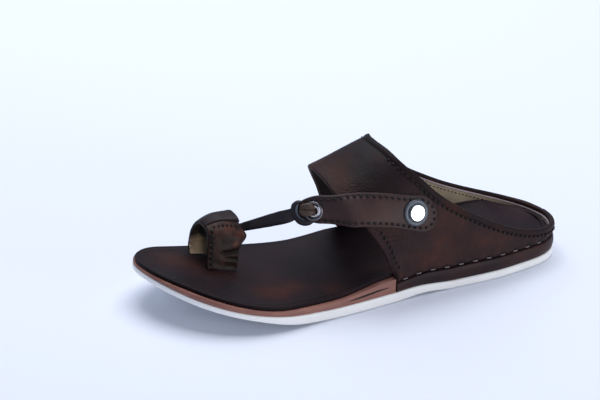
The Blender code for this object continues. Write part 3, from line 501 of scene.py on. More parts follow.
def suedeFinish(name, look):  # pigskin lining, sanded: tan, dry, with a fine nap
    made, tree, shader = newFinish(name, Roughness=look["rough"], Specular_IOR_Level=0.25, Sheen_Weight=0.15)
    tan = ramp(tree, noiseOf(tree, look["cloudMm"], 4.0), look["tans"])
    # The dark field mixes in the deep colour: painted shade on the lining
    shaded = mixColours(tree, fieldOf(tree, "dark"), tan, linear(look["deep"]))
    tree.links.new(shaded, shader.inputs["Base Color"])
    addBump(tree, shader, noiseOf(tree, look["napMm"], 5.0), 0.5, 0.0003)
    return made


lining = suedeFinish("pigskinLining", {"tans": [(0.3, "#8f8170"), (0.5, "#a69881"), (0.75, "#b8aa93")],
                                       "deep": "#241b19", "cloudMm": 14, "napMm": 0.7, "rough": 0.8})
# The toe ring's lining is a lighter copy of the same tan lining: painted light inside the loop
ringLining = suedeFinish("tanRingLiningPaintedLight", {"tans": [(0.3, "#b99c7a"), (0.5, "#cdb08c"), (0.75, "#dcc19c")],
                                           "deep": "#15100f", "cloudMm": 9, "napMm": 0.7, "rough": 0.8})
piping = suedeFinish("foldedPipingTape", {"tans": [(0.3, "#8d7f80"), (0.7, "#a59799")],
                                          "deep": "#4a3f40", "cloudMm": 9, "napMm": 0.6, "rough": 0.7})


def boardFinish(look):  # vegetable-tanned board, cut and edge-burnished: warm tan with faint layers
    made, tree, shader = newFinish("burnishedTanBoard", Roughness=look["rough"], Specular_IOR_Level=0.4)
    tan = ramp(tree, noiseOf(tree, look["cloudMm"], 5.0), look["tans"])
    stretched = addNode(tree, "ShaderNodeMapping", {"Vector": placeOn(tree)},
                        {"Scale": (60, 60, 1000 / look["layerMm"])})
    layers = addNode(tree, "ShaderNodeTexNoise", {"Vector": stretched.outputs["Vector"]},
                     {"Scale": 1.0, "Detail": 3.0}).outputs["Fac"]
    layered = mixColours(tree, 0.35, tan, ramp(tree, layers, look["layers"]))
    tree.links.new(layered, shader.inputs["Base Color"])
    addBump(tree, shader, layers, 0.4, 0.0003)
    return made


boardTan = boardFinish({"tans": [(0.3, "#80534a"), (0.5, "#906256"), (0.7, "#9e6d60")],
                        "layers": [(0.35, "#6b4037"), (0.65, "#9d6b5c")],
                        "cloudMm": 16, "layerMm": 0.8, "rough": 0.55})


def rubberFinish(look):  # compression-moulded white rubber: even, satin, faintly rippled
    made, tree, shader = newFinish("mouldedWhiteRubber", Roughness=look["rough"], Specular_IOR_Level=0.45)
    white = ramp(tree, noiseOf(tree, look["dustMm"], 5.0), look["whites"])
    tree.links.new(white, shader.inputs["Base Color"])
    addBump(tree, shader, noiseOf(tree, look["fineMm"], 3.0), 0.25, 0.0002)
    return made


whiteRubber = rubberFinish({"whites": [(0.3, "#f1f1ef"), (0.6, "#fafaf8")],
                            "dustMm": 30, "fineMm": 1.0, "rough": 0.48})


def metalFinish(name, look):  # plated and polished metal with faint handling marks
    made, tree, shader = newFinish(name, Base_Color=linear(look["colour"]), Metallic=1.0,
                                   Roughness=look["rough"])
    marks = noiseOf(tree, look["marksMm"], 4.0)
    spreadRoughness(tree, shader, marks, (0.35, 0.65), (look["rough"] * 0.7, look["rough"] * 1.4))
    return made


nickel = metalFinish("platedNickelEyelet", {"colour": "#77757a", "rough": 0.3, "marksMm": 4})
# A lighter copy of the eyelet's nickel: painted highlight on the lip round the bore
paintedHighlightNickel = metalFinish("nickelLipPaintedHighlight", {"colour": "#f4f2f2", "rough": 0.38, "marksMm": 4})
chrome = metalFinish("polishedChromeCap", {"colour": "#f2f4f5", "rough": 0.3, "marksMm": 8})


def lacquerFinish(look):  # steel washer under blue-grey lacquer: dark with a clear highlight
    made, tree, shader = newFinish("lacqueredWasher", Roughness=look["rough"], Specular_IOR_Level=0.5,
                                   Coat_Weight=0.05, Coat_Roughness=0.15)
    blue = ramp(tree, noiseOf(tree, look["cloudMm"], 3.0), look["blues"])
    tree.links.new(blue, shader.inputs["Base Color"])
    return made


washerLacquer = lacquerFinish({"blues": [(0.3, "#3b434c"), (0.7, "#4c5661")], "cloudMm": 6, "rough": 0.35})


def threadFinish(name, colour, shine):  # waxed polyester thread, twisted
    made, tree, shader = newFinish(name, Roughness=shine, Specular_IOR_Level=0.4)
    twistMm = 0.6
    tree.links.new(ramp(tree, noiseOf(tree, twistMm, 2.0), colour), shader.inputs["Base Color"])
    return made


darkThread = threadFinish("darkWaxedThread", [(0.35, "#080505"), (0.65, "#160e0e")], 0.7)
greyThread = threadFinish("greyWaxedThread", [(0.35, "#6a5f60"), (0.65, "#8d8080")], 0.55)
paleThread = threadFinish("paleLiningThread", [(0.35, "#9d9382"), (0.65, "#bcb29f")], 0.6)
print("materials ready")

# Sole: outsole, board and footbed as dense rings with caps


def soleRows(count=110):
    angles = np.pi * np.arange(1, count + 1) / (count + 1)
    rows = shoe["soleLength"] / 2 * (1 - np.cos(angles))
    front, step = shoe["footFront"], shoe["footStep"]
    rows = [r for r in rows if abs(r - front) > 1.0]
    return np.array(sorted(rows + [front, front + step]))


def soleRing(rows, inset, height):
    def half(side, distances):
        along = distances / shoe["soleLength"]
        xy = edge(side, distances, inset(side, along))
        return np.c_[xy, height(xy[:, 1])]
    heel, toe = np.array([0.0]), np.array([shoe["soleLength"]])
    return np.vstack([half(1, heel), half(1, rows), half(1, toe), half(-1, rows)[::-1]])


def cupHeight(y):
    return shoe["cup"] * smoothRows(cupRows, shareOf(y))


def soleSlab(levels, columns, shape, underside=1, cup=False):
    rows = soleRows()
    rings = [soleRing(rows, inset, height) for inset, height in levels]
    for ring in rings[1:] if cup else []:
        ring[1:len(rows) + 1, 2] += cupHeight(ring[1:len(rows) + 1, 1])
    count, pairs = len(rings[0]), len(rows)
    points = [p for ring in rings for p in ring]
    faces = gridFaces(len(rings), count, closedColumns=True)

    def cap(start, ring, inside, upward):
        lines = []
        for row in range(1, pairs + 1):
            a, b = ring[row], ring[count - row]
            line = [start + row]
            for column in range(1, inside + 1):
                share = column / (inside + 1)
                p = a * (1 - share) + b * share
                if upward:
                    p[2] += shape(p, 2 * share - 1)
                if upward and cup:
                    p[2] += cupHeight(p[1]) * (max(0.0, 1 - share / shoe["cupReach"]) ** 1.5 - (1 - share))
                line.append(len(points))
                points.append(p)
            lines.append(line + [start + count - row])
        cells = []
        for near, far in zip(lines, lines[1:]):
            for k in range(len(near) - 1):
                cells.append((near[k], near[k + 1], far[k + 1], far[k]))
        for k in range(len(lines[0]) - 1):
            cells.append((start, lines[0][k + 1], lines[0][k]))
            cells.append((start + pairs + 1, lines[-1][k], lines[-1][k + 1]))
        faces.extend(tuple(reversed(c)) if upward else c for c in cells)

    cap(0, rings[0], underside, False)
    cap((len(rings) - 1) * count, rings[-1], columns, True)
    return np.array(points), faces


def behindFoot(along):
    return along < (shoe["footFront"] + 0.5 * shoe["footStep"]) / shoe["soleLength"]


def evenInset(value):
    return lambda side, along: np.full(np.shape(along), value)


outsoleLook = {"sideGroove": 0.08, "grooveHeight": 0.62, "toeThinning": 2.6, "thinFrom": 0.68, "thinTo": 0.84}


def treadLine(y):  # underside of the rubber, which thins toward the toe
    start, stop = outsoleLook["thinFrom"], outsoleLook["thinTo"]
    share = np.clip((shareOf(y) - start) / (stop - start), 0, 1)
    return lift(y) + outsoleLook["toeThinning"] * share * share * (3 - 2 * share)


def sideLine(share):  # height between the rubber's underside and its top
    return lambda y: treadLine(y) + share * (rubberTop(y) - treadLine(y))


roundMm = shoe["outsoleRound"]
points, faces = soleSlab([
    (evenInset(roundMm), treadLine),
    (evenInset(0.45), lambda y: treadLine(y) + 0.25 * roundMm),
    (evenInset(0.1), lambda y: treadLine(y) + 0.75 * roundMm),
    (evenInset(0.0), sideLine(0.45)),
    (evenInset(0.02), sideLine(outsoleLook["grooveHeight"] - 0.05)),
    (evenInset(outsoleLook["sideGroove"]), sideLine(outsoleLook["grooveHeight"])),
    (evenInset(0.02), sideLine(outsoleLook["grooveHeight"] + 0.05)),
    (evenInset(0.1), lambda y: rubberTop(y) - 0.5 * roundMm),
    (evenInset(0.45), lambda y: rubberTop(y) - 0.12 * roundMm),
    (evenInset(0.9), rubberTop),
    (evenInset(2.0), lambda y: 0.5 * (rubberTop(y) + deckHeight(y))),
    (evenInset(2.8), deckHeight),
], 1, lambda p, share: 0.0)
addPiece("outsoleRubber", points, faces, [whiteRubber], ["outsole"])


def boardInset(extra):
    rear = shoe["upperInset"] + shoe["upperWall"] + 2 * shoe["gap"]
    return lambda side, along: np.where(behindFoot(along), rear, shoe["boardFrontInset"]) + extra


edgeMm = shoe["boardRound"]
points, faces = soleSlab([
    (boardInset(edgeMm), lambda y: deckHeight(y) + 0.05),
    (boardInset(0.0), lambda y: deckHeight(y) + shoe["gap"] + edgeMm),
    (boardInset(-0.15), lambda y: 0.5 * (deckHeight(y) + boardTop(y))),
    (boardInset(0.0), lambda y: boardTop(y) - edgeMm),
    (boardInset(edgeMm), lambda y: boardTop(y) + 0.1),
], 1, lambda p, share: 0.0)
addPiece("midsoleBoard", points, faces, [boardTan], ["midsole"])

footbedLook = {
    "wave": 0.35, "waveMm": 26,
    "warmSpots": [  # x, y, size, strength
        (-27, 167, 11, 0.9), (19, 210, 14, 0.9), (-22, 150, 9, 0.5), (-33, 128, 8, 0.4), (8, 185, 14, 0.5),
    ],
    "darkFrom": 125, "darkRun": 60, "darkMost": 0.6,
}


def footbedInset(extra):
    rear = shoe["upperInset"] + shoe["upperWall"] + shoe["footbedClearance"]
    return lambda side, along: rear * smoothRows(footbedRows, along) + extra


def footbedShape(p, share):
    dish = shoe["footbedDish"] * smoothRows([(0, 1.0), (0.45, 1.0), (0.7, 0.7), (1.0, 0.2)], shareOf(p[1]))
    inside = 1 - share**4
    wave = footbedLook["wave"] * noise.noise(Vector((p[0], p[1], 0)) / footbedLook["waveMm"]) * inside
    return -dish * inside + wave


bedMm = shoe["footbedRound"]
points, faces = soleSlab([
    (footbedInset(0.2), lambda y: boardTop(y) + 0.1),
    (footbedInset(0.0), lambda y: footbedTop(y) - 1.3 * bedMm),
    (footbedInset(0.12), lambda y: footbedTop(y) - 0.6 * bedMm),
    (footbedInset(0.35), lambda y: footbedTop(y) - 0.2 * bedMm),
    (footbedInset(0.7), footbedTop),
    (footbedInset(1.6), lambda y: footbedTop(y) + 0.05),
    (footbedInset(2.1), lambda y: footbedTop(y) - 0.18),
    (footbedInset(2.6), lambda y: footbedTop(y) + 0.02),
], 26, footbedShape, cup=True)
warm = np.zeros(len(points))
for x, y, size, strength in footbedLook["warmSpots"]:
    warm += strength * np.exp(-((points[:, 0] - x) ** 2 + (points[:, 1] - y) ** 2) / size**2)
towardToe = np.clip((points[:, 1] - footbedLook["darkFrom"]) / footbedLook["darkRun"], 0, 1)
dark = footbedLook["darkMost"] * towardToe
addPiece("footbedInsole", points, faces, [footbedLeather], ["footbed"],
         fields={"warm": np.clip(warm, 0, 1), "dark": dark})


print("sole ready")

# Upper: one shell on the last, with relief for seams, puckers and creases

upperLook = {
    "spokesPerRow": 9, "bodyRows": 40, "rollWidth": 3.2, "rollRise": 0.3, "heelFlare": 0.9,
    "seamFromEdge": 4.0, "throatSeam": 4.2, "seamDepth": 0.25, "seamWidth": 0.9, "rimPuff": 0.15,
    "bindingInside": 1.4, "pipingInside": 2.2, "liningSeam": 4.8, "heelSeamWidth": 0.8, "heelSeamDepth": 0.7,
    "wave": 0.45, "waveMm": 19, "puckerPitch": 10.0, "puckerDepth": 0.8,
    "creases": [  # side, then y and z of both ends, width, depth (plus is a ridge), all in mm
        (-1, 96, 46, 82, 40, 3.0, -0.45), (-1, 94, 40, 80, 33, 2.6, 0.35), (-1, 90, 33, 74, 27, 2.6, -0.40),
        (-1, 60, 33, 44, 25, 4.0, -0.35), (-1, 38, 31, 20, 24, 3.4, 0.35), (-1, 22, 28, 2, 22, 3.0, -0.40),
        (-1, 4, 24, -14, 19, 2.6, 0.40), (-1, 100, 70, 84, 62, 5.0, -0.30), (-1, 106, 74, 98, 66, 3.5, 0.25),
        (1, 84, 40, 66, 30, 4.0, -0.4), (1, 60, 33, 40, 25, 4.0, 0.35), (1, 24, 27, 4, 20, 3.0, -0.35),
    ],
    "warmSpots": [  # side, y, z, size, strength
        (-1, 115, 72, 6.5, 1.0), (-1, 60, 40, 10, 0.35), (-1, 54, 27, 9, 0.5), (-1, 30, 27, 9, 0.3),
        (-1, 10, 24, 9, 0.25), (-1, 84, 46, 7, 0.25), (-1, 74, 28, 9, 0.25), (1, 60, 40, 14, 0.3),
        (1, 100, 60, 14, 0.3), (1, 10, 22, 12, 0.3),
    ],
    # Painted shade on the saddle's top and front: side, y, z, size, strength
    "shadeSpots": [(-1, 98, 78, 15, 0.75), (-1, 113, 66, 14, 0.45), (1, 104, 78, 20, 0.6)],
    "coarseSpots": [(-1, 96, 38, 16), (-1, 108, 62, 14), (-1, 92, 52, 12), (1, 100, 44, 20)],
}


def fineSpokes(perRow):
    table = np.array(spokeRows)
    index = np.arange(len(table))
    fine = np.linspace(0, len(table) - 1, (len(table) - 1) * perRow + 1)[:-1]
    columns = [smoothRows(list(zip(index, table[:, k])), fine) for k in range(1, 5)]
    side = np.where(fine < int(table[:, 1].argmin()), -1, 1)
    return side, columns


def spokeGrid(shares, perRow):
    side, (footPlace, footClimb, collarPlace, collarShare) = fineSpokes(perRow)
    footFront, crestFront = shoe["footFront"] / shoe["soleLength"], shoe["crestFront"] / shoe["soleLength"]
    footAlong = np.minimum(footPlace, 1) * footFront + np.maximum(footPlace - 1, 0) * (crestFront - footFront)
    collarAlong = collarPlace * shoe["crestBack"] / shoe["soleLength"]
    collarClimb = np.where(collarShare >= 0.9999, 1.0, climbForHeight(collarAlong, collarShare))
    t = np.asarray(shares)[None, :]
    along = footAlong[:, None] + (collarAlong - footAlong)[:, None] * t
    climb = footClimb[:, None] + (collarClimb - footClimb)[:, None] * t
    return side[:, None] + 0 * t, along, climb, footPlace, collarPlace


upperShares = np.r_[np.linspace(0, 0.12, 9)[:-1], np.linspace(0.12, 0.8, upperLook["bodyRows"])[:-1],
                    np.linspace(0.8, 1, 26)]
sideGrid, alongGrid, climbGrid, footPlaces, collarPlaces = spokeGrid(upperShares, upperLook["spokesPerRow"])
basePoints = lastPoint(sideGrid, alongGrid, climbGrid)
baseNormals = lastNormal(sideGrid, alongGrid, climbGrid)
walked = np.concatenate([np.zeros((len(basePoints), 1)),
                         np.cumsum(np.linalg.norm(np.diff(basePoints, axis=1), axis=2), axis=1)], axis=1)
fromCollar = walked[:, -1:] - walked  # mm along the spoke from the collar's edge
fromFoot = walked
throat = np.clip((footPlaces - 1.02) / 0.2, 0, 1)[:, None]  # 1 where the lower edge is the throat
heelness = np.clip(1 - collarPlaces / 0.34, 0, 1)[:, None]


def bell(distance, width):
    return np.exp(-(distance / width) ** 2)


def creaseField(points, side, creases):
    field = np.zeros(points.shape[:-1])
    yz = points[..., 1:]
    for which, y0, z0, y1, z1, width, depth in creases:
        a, way = np.array([y0, z0]), np.array([y1 - y0, z1 - z0])
        t = np.clip(((yz - a) @ way) / way.dot(way), 0, 1)
        away = np.linalg.norm(yz - a - t[..., None] * way, axis=-1)
        taper = np.sin(np.pi * np.clip(t, 0.06, 0.94)) ** 0.6
        field += np.where(side == which, depth * bell(away, width) * taper, 0)
    return field


flat = basePoints.reshape(-1, 3)
relief = (waves(flat, upperLook["waveMm"], upperLook["wave"], 2.0)
          + waves(flat, upperLook["waveMm"] / 3, upperLook["wave"] / 3, 9.0)).reshape(basePoints.shape[:-1])
relief *= np.clip(fromCollar / 12, 0.3, 1) * np.clip(fromFoot / 10, 0.25, 1)
relief += creaseField(basePoints, sideGrid, upperLook["creases"])
seam = upperLook["seamFromEdge"]
relief -= upperLook["seamDepth"] * bell(fromCollar - seam, upperLook["seamWidth"])
relief += upperLook["rimPuff"] * bell(fromCollar - 0.5 * seam, 1.6)
lowThroat = throat * np.clip((50 - basePoints[..., 2]) / 6, 0, 1)
throatGroove = bell(fromFoot - upperLook["throatSeam"], upperLook["seamWidth"])
relief -= lowThroat * upperLook["seamDepth"] * throatGroove
relief += lowThroat * upperLook["rimPuff"] * bell(fromFoot - 2.1, 1.6)
heelSeam = bell(basePoints[..., 0] - 6.0, upperLook["heelSeamWidth"]) * (basePoints[..., 1] < -25)
relief -= upperLook["heelSeamDepth"] * heelSeam * np.clip(1 - fromCollar / 14, 0, 1)
puckers = np.cos(2 * np.pi * basePoints[..., 1] / upperLook["puckerPitch"])
relief += (1 - throat) * upperLook["puckerDepth"] * (0.35 + 0.65 * puckers) * bell(fromFoot - 2.8, 2.4)
relief -= (1 - throat) * 0.5 * bell(fromFoot, 1.2)
rollRise = upperLook["rollRise"] + upperLook["heelFlare"] * heelness
rollShare = np.clip(1 - fromCollar / upperLook["rollWidth"], 0, 1)
relief += rollRise * np.sin(0.5 * np.pi * np.clip(rollShare * 1.7, 0, 1)) ** 2
outerSkin = basePoints + baseNormals * relief[..., None]

wall = shoe["upperWall"]
endWay = unit(basePoints[:, -1] - basePoints[:, -4])  # out over the collar
footWay = unit(basePoints[:, 0] - basePoints[:, 3])
innerShares = list(range(basePoints.shape[1] - 1, -1, -2))
innerSkin = basePoints - baseNormals * (wall - 0.25 * np.clip(relief, -1, 1))[..., None]

arcAngles = np.linspace(0, np.pi, 9)[1:-1]
topOuter, topInner = outerSkin[:, -1], innerSkin[:, -1]
topMiddle, topHalf = (topOuter + topInner) / 2, (topOuter - topInner) / 2
topArc = [topMiddle + topHalf * math.cos(a) + endWay * 1.0 * math.sin(a) for a in arcAngles]
lowOuter, lowInner = outerSkin[:, 0], innerSkin[:, 0]
lowMiddle, lowHalf = (lowOuter + lowInner) / 2, (lowOuter - lowInner) / 2
lowBulge = 0.25 + 0.75 * throat
lowArc = [lowMiddle + lowHalf * math.cos(a) + footWay * lowBulge * math.sin(a) for a in arcAngles[::-1]]
outerColumns = [outerSkin[:, k] for k in range(outerSkin.shape[1])]
columns = outerColumns + topArc + [innerSkin[:, k] for k in innerShares] + lowArc
shell = np.stack(columns, axis=1)
spokes, per = shell.shape[:2]
faces = gridFaces(spokes, per, closedRows=True, closedColumns=True)
outerCount, arcCount, innerCount = outerSkin.shape[1], len(topArc), len(innerShares)
zoneOfColumn = [0] * (outerCount - 1 + arcCount - 1) + [1] * (2 + innerCount) + [0] * (arcCount - 1)
zoneOfColumn = (zoneOfColumn + [0] * per)[:per]
zones = [zoneOfColumn[n % per] for n in range(len(faces))]
for k, column in enumerate(innerShares[:-1]):  # the leather turns in over the collar as a binding
    bound = fromCollar[:, column] < upperLook["bindingInside"]
    for spoke in np.nonzero(bound)[0]:
        zones[spoke * per + outerCount + arcCount + k] = 0
for k in range(2):
    for spoke in range(spokes):
        zones[spoke * per + outerCount + arcCount - 1 - k] = 0
shellFlat = shell.reshape(-1, 3)
sideOfPoint = np.repeat(sideGrid[:, :1], per, axis=1).reshape(-1)


def spotField(points, side, spots):
    field = np.zeros(len(points))
    for which, y, z, size, strength in spots:
        near = bell(np.linalg.norm(points[:, 1:] - np.array([y, z]), axis=1), size)
        field += np.where(side == which, strength * near, 0)
    return field


warm = spotField(shellFlat, sideOfPoint, upperLook["warmSpots"])
coarse = spotField(shellFlat, sideOfPoint, [spot + (1.0,) for spot in upperLook["coarseSpots"]])
innerFrom = outerCount + arcCount
innerMask = np.array([1.0 if innerFrom - 2 <= k < innerFrom + innerCount else 0.0 for k in range(per)])
# Painted shade on the lining, darker toward the front under the saddle
dark = np.tile(innerMask, spokes) * np.clip((shellFlat[:, 1] - 62) / 30, 0, 0.92)
# Painted shade in the seam grooves at the collar, throat and heel, in the joint groove and in the pucker
# troughs; the collar's rim and rounded top are darker too
grooveShadeAndRimDark = np.zeros(shell.shape[:2])
jointGrooveShade = 0.95 * bell(fromFoot, 2.0) + 0.5 * np.clip(-puckers, 0, 1) * bell(fromFoot - 2, 2)
grooveShadeAndRimDark[:, :outerCount] = (0.55 * bell(fromCollar - seam, 0.7) + 0.4 * lowThroat * bell(fromFoot - 4.2, 0.7)
                            + (1 - throat) * jointGrooveShade
                            + 0.55 * bell(fromCollar - 0.5, 2.6)
                            + 0.6 * heelSeam * np.clip(1 - fromCollar / 14, 0, 1))
grooveShadeAndRimDark[:, outerCount:outerCount + arcCount] = 0.55
dark = dark + grooveShadeAndRimDark.reshape(-1) + spotField(shellFlat, sideOfPoint, upperLook["shadeSpots"])
dark = np.clip(dark, 0, 0.97)
addPiece("saddleUpper", shellFlat, faces, [upperLeather, lining], ["upper"], zones=zones,
         fields={"warm": np.clip(warm, 0, 1), "coarse": np.clip(coarse, 0, 1), "dark": dark}, sharp=70)


def pick(values, places):  # linear lookup at float indices
    low = np.clip(np.floor(places).astype(int), 0, len(values) - 2)
    t = (places - low)[:, None]
    return values[low] * (1 - t) + values[low + 1] * t


def atDistance(distances, target, grid):  # each spoke's value where the distance equals the target
    found = []
    for row in range(len(grid)):
        order = np.argsort(distances[row])
        found.append([np.interp(target, distances[row][order], grid[row][order][:, k]) for k in range(3)])
    return np.array(found)


stitchLook = {  # pitch, length and thickness in mm
    "upper": (3.8, 2.0, 1.6), "running": (10.0, 3.6, 0.8), "lining": (3.0, 1.8, 0.6), "runningFromFoot": 1.1,
}


def seamSpans(line, normals, pitch, length, keep=None, closed=False):
    if closed:
        line, normals = np.vstack([line, line[:1]]), np.vstack([normals, normals[:1]])
    run = np.r_[0.0, np.cumsum(np.linalg.norm(np.diff(line, axis=0), axis=1))]
    spans = []
    for start in np.arange(0.4 * pitch, run[-1] - length, pitch):
        ends = np.interp([start, start + length], run, np.arange(len(line)))
        a, b = pick(line, ends)
        n = pick(normals, ends)[0]
        if keep is None or keep(a):
            spans.append((a, b, n))
    return spans


def seamRow(name, row, distances, target, finish, order=slice(None), skin=outerSkin, facing=1, **settings):
    pitch, length, thread = stitchLook[row]
    lifted = settings.pop("lifted", 0.5)
    line = atDistance(distances, target, skin)[order]
    normals = facing * atDistance(distances, target, baseNormals)[order]
    points, faces = threadRun(seamSpans(line, normals, pitch, length, **settings), thread, lifted)
    addPiece(name, points, faces, [finish])


seamRow("collarStitches", "upper", fromCollar, seam, darkThread, keep=lambda p: p[2] < 84, closed=True)
throatRows = np.nonzero(footPlaces > 1.03)[0]
split = int(np.nonzero(np.diff(throatRows) > 1)[0][0]) + 1
throatOrder = np.r_[throatRows[split:], throatRows[:split]]
seamRow("throatStitches", "upper", fromFoot, upperLook["throatSeam"], darkThread, throatOrder,
        keep=lambda p: p[2] < 48)
seamRow("runningStitches", "running", fromFoot, stitchLook["runningFromFoot"], greyThread,
        np.nonzero(footPlaces <= 1.0)[0], keep=lambda p: p[1] > -20, lifted=0.6)

roundCord = [(math.cos(a), math.sin(a)) for a in np.linspace(0, 2 * np.pi, 9)[:-1]]
pipingLine = atDistance(fromCollar, upperLook["pipingInside"], innerSkin)
pipingLine = np.vstack([pipingLine, pipingLine[:1]])
pipingSizes = [1.3] * len(pipingLine)
upward = [np.array([0, 0, 1.0])] * len(pipingLine)
points, faces = sweep(pipingLine, upward, roundCord, pipingSizes, pipingSizes, capped=False)
addPiece("collarPiping", points, faces, [piping])
seamRow("liningStitches", "lining", fromCollar, upperLook["liningSeam"], darkThread, skin=innerSkin,
        facing=-1, closed=True)
print("upper ready")

# Rand: the smooth band below the upper, with a soft bulge

randLook = {"rows": 150, "bulge": 0.8}


def randSections():
    stop = shoe["footFront"]
    distances = stop * (1 - np.cos(np.linspace(0, np.pi / 2, randLook["rows"])))
    stations = [(-1, d) for d in distances[::-1]] + [(1, d) for d in distances[1:]]
    innerInset = shoe["upperInset"] + shoe["upperWall"] - 0.1
    profile = [(innerInset, 0.0), (0.9, 0.0)]
    for share in np.linspace(0.06, 0.94, 12):
        profile.append((0.75 - randLook["bulge"] * math.sin(math.pi * share) ** 0.8, share))
    profile += [(0.85, 0.985), (innerInset, 1.0)]
    sections = []
    for side, distance in stations:
        section = []
        for inset, share in profile:
            x, y = edge(side, distance, inset)
            low = rubberTop(y) + 0.1
            wave = 0.18 * noise.noise(Vector((x, y, 6 * share)) / 14)
            section.append((x, y, low + (randTop(y) - low) * share + (wave if 0.2 < share < 0.9 else 0)))
        sections.append(section)
    return np.array(sections)


sections = randSections()
rowsCount, per = sections.shape[:2]
faces = loftFaces(rowsCount, per)
warm = 0.5 * np.clip(waves(sections.reshape(-1, 3), 22, 1.6, 4.0), 0, 1)
addPiece("heelRand", sections.reshape(-1, 3), faces, [randLeather], ["rand"], fields={"warm": warm})
print("rand ready")

# Toe ring: a soft leather loop with a lining, a smooth flap over the top and stitched edges

ring = {
    "width": 20.5, "span": 24.0, "height": 26.2, "wall": 2.4, "fromHeel": 220.3, "offset": 20.3, "lean": 3.5,
    "frontDrop": 2.6, "frontSkive": 1.0, "wing": 4.6, "wingHeight": 17.6, "wingRun": 4.4, "footGap": 0.2,
    "rows": [
        (0.0, 0.0), (0.02, 0.18), (0.06, 0.42), (0.11, 0.68), (0.2, 0.88), (0.38, 0.985), (0.6, 1.0),
        (0.82, 0.93), (0.99, 0.75), (1.07, 0.52), (1.06, 0.28), (0.99, 0.11), (0.89, 0.0)],
    "flapFrom": 4.75, "flapSlant": 0.35, "flapTo": 11.2, "flapThick": 0.8,
    "stitchPitch": 3.4, "stitchLength": 2.3, "thread": 1.9,
    "flapSunk": 0.35,
    "creases": [  # place along the loop, share across (1 is the toe side), run in both, width, depth
        (1.85, -0.95, -0.1, 1.0, 0.75, -0.85), (2.3, -0.9, -0.15, 0.8, 1.3, 0.35),
        (1.1, -0.9, 0.2, 0.7, 0.8, -0.55), (1.45, -0.95, 0.1, 0.7, 1.0, 0.3),
        (2.9, -0.8, 0.6, 0.5, 1.1, -0.4), (3.5, -0.5, 0.4, 0.9, 1.9, 0.45),
        (0.5, -0.8, 0.2, 0.8, 1.1, -0.25), (2.6, 0.1, 0.8, 0.3, 1.5, -0.25),
    ],
    "warmSpots": [(3.2, -0.72, 0.3, 0.16, 0.6), (2.45, -0.62, 0.25, 0.16, 0.55),
                  (3.9, -0.2, 0.4, 0.25, 0.25)],
    # Painted shade in the creases, at the foot of the near leg and along the front edge: place along the
    # loop, share across, run along, run across, strength
    "shadeSpots": [(1.75, -0.55, 0.16, 0.4, 0.9), (1.05, -0.6, 0.16, 0.35, 0.8), (2.7, -0.3, 0.2, 0.3, 0.4),
                  (0.1, 0.0, 0.2, 1.2, 0.8), (2.5, 0.78, 2.6, 0.06, 0.4)],
}
ringY = ring["fromHeel"] - shoe["restFromBack"]
ringTable = np.array(ring["rows"])
ringIndex = np.arange(len(ringTable))


def ringPath(stations):
    path = np.stack([
        ring["offset"] + (smoothRows(list(zip(ringIndex, ringTable[:, 0])), stations) - 0.5) * ring["span"],
        smoothRows(list(zip(ringIndex, ringTable[:, 1])), stations) * ring["height"]], axis=-1)
    tangent = unit(np.gradient(path, axis=0))
    return path, np.c_[-tangent[:, 1], tangent[:, 0]]


def ringPoint(x, height, outX, outZ, across, depth):
    # Across runs from -1 at the heel side to 1 at the toe side, depth starts at the inner face
    lean = -ring["lean"] * height / ring["height"]
    toFront = max(0.0, across) ** 1.2
    wing = ring["wing"] * bell(height - ring["wingHeight"], ring["wingRun"]) * max(0.0, -across) ** 2
    wing = wing if x < ring["offset"] else 0.0
    y = ringY + lean + across * ring["width"] / 2 - wing
    depth = depth * (1 - ring["frontSkive"] / ring["wall"] * toFront**2 * min(1.0, height / 8))
    footShare = np.maximum(0.0, 1 - height / (0.5 * ring["height"]))
    ground = (footbedTop(y) + ring["footGap"]) * footShare + footbedTop(ringY) * (1 - footShare)
    drop = ring["frontDrop"] * toFront * height / ring["height"]
    return np.array([x + outX * depth, y, ground + height - drop + outZ * depth * min(1.0, height / 4.0)])


def ringSheet(stations, acrossShares, depthOf, thicknessOf):
    # Closed sheet round the loop: outer face, front edge, inner face, back edge
    path, out = ringPath(stations)
    sections = []
    for n, (x, height) in enumerate(path):
        section = []
        for a in acrossShares:
            outerDepth = depthOf(stations[n], a) + thicknessOf(stations[n], a)
            section.append(ringPoint(x, height, *out[n], a, outerDepth))
        for a in acrossShares[::-1]:
            section.append(ringPoint(x, height, *out[n], a, depthOf(stations[n], a)))
        sections.append(section)
    return np.array(sections)


def ringRelief(station, a):
    value = 0.0
    for s0, a0, ds, da, width, depth in ring["creases"]:
        p = np.array([(station - s0) * 5.0, (a - a0) * 10.0])
        way = np.array([ds * 5.0, da * 10.0])
        t = min(max(p.dot(way) / way.dot(way), 0), 1)
        value += depth * math.exp(-(np.linalg.norm(p - t * way) / width) ** 2)
    value += 0.35 * noise.noise(Vector((station * 1.3, a * 1.7, 4.0)))
    edgeAway = (1 - abs(a)) * ring["width"] / 2
    value -= 0.3 * math.exp(-((edgeAway - 2.6) / 0.8) ** 2)
    return value * min(1.0, edgeAway / 1.5 + 0.2)


acrossShares = list(np.sin(np.linspace(-np.pi / 2, np.pi / 2, 27)))
stations = np.linspace(0, len(ringTable) - 1, 150)


def ringWall(station, a):
    edgeAway = (1 - abs(a)) * ring["width"] / 2
    rounding = 1 - 0.45 * max(0.0, 1 - edgeAway / 1.1) ** 2
    return ring["wall"] * rounding * 0.98 + ringRelief(station, a)


def ringInside(station, a):  # the inner face falls back at both edges
    return 0.12 * max(0.0, 1 - (1 - abs(a)) * ring["width"] / 2)


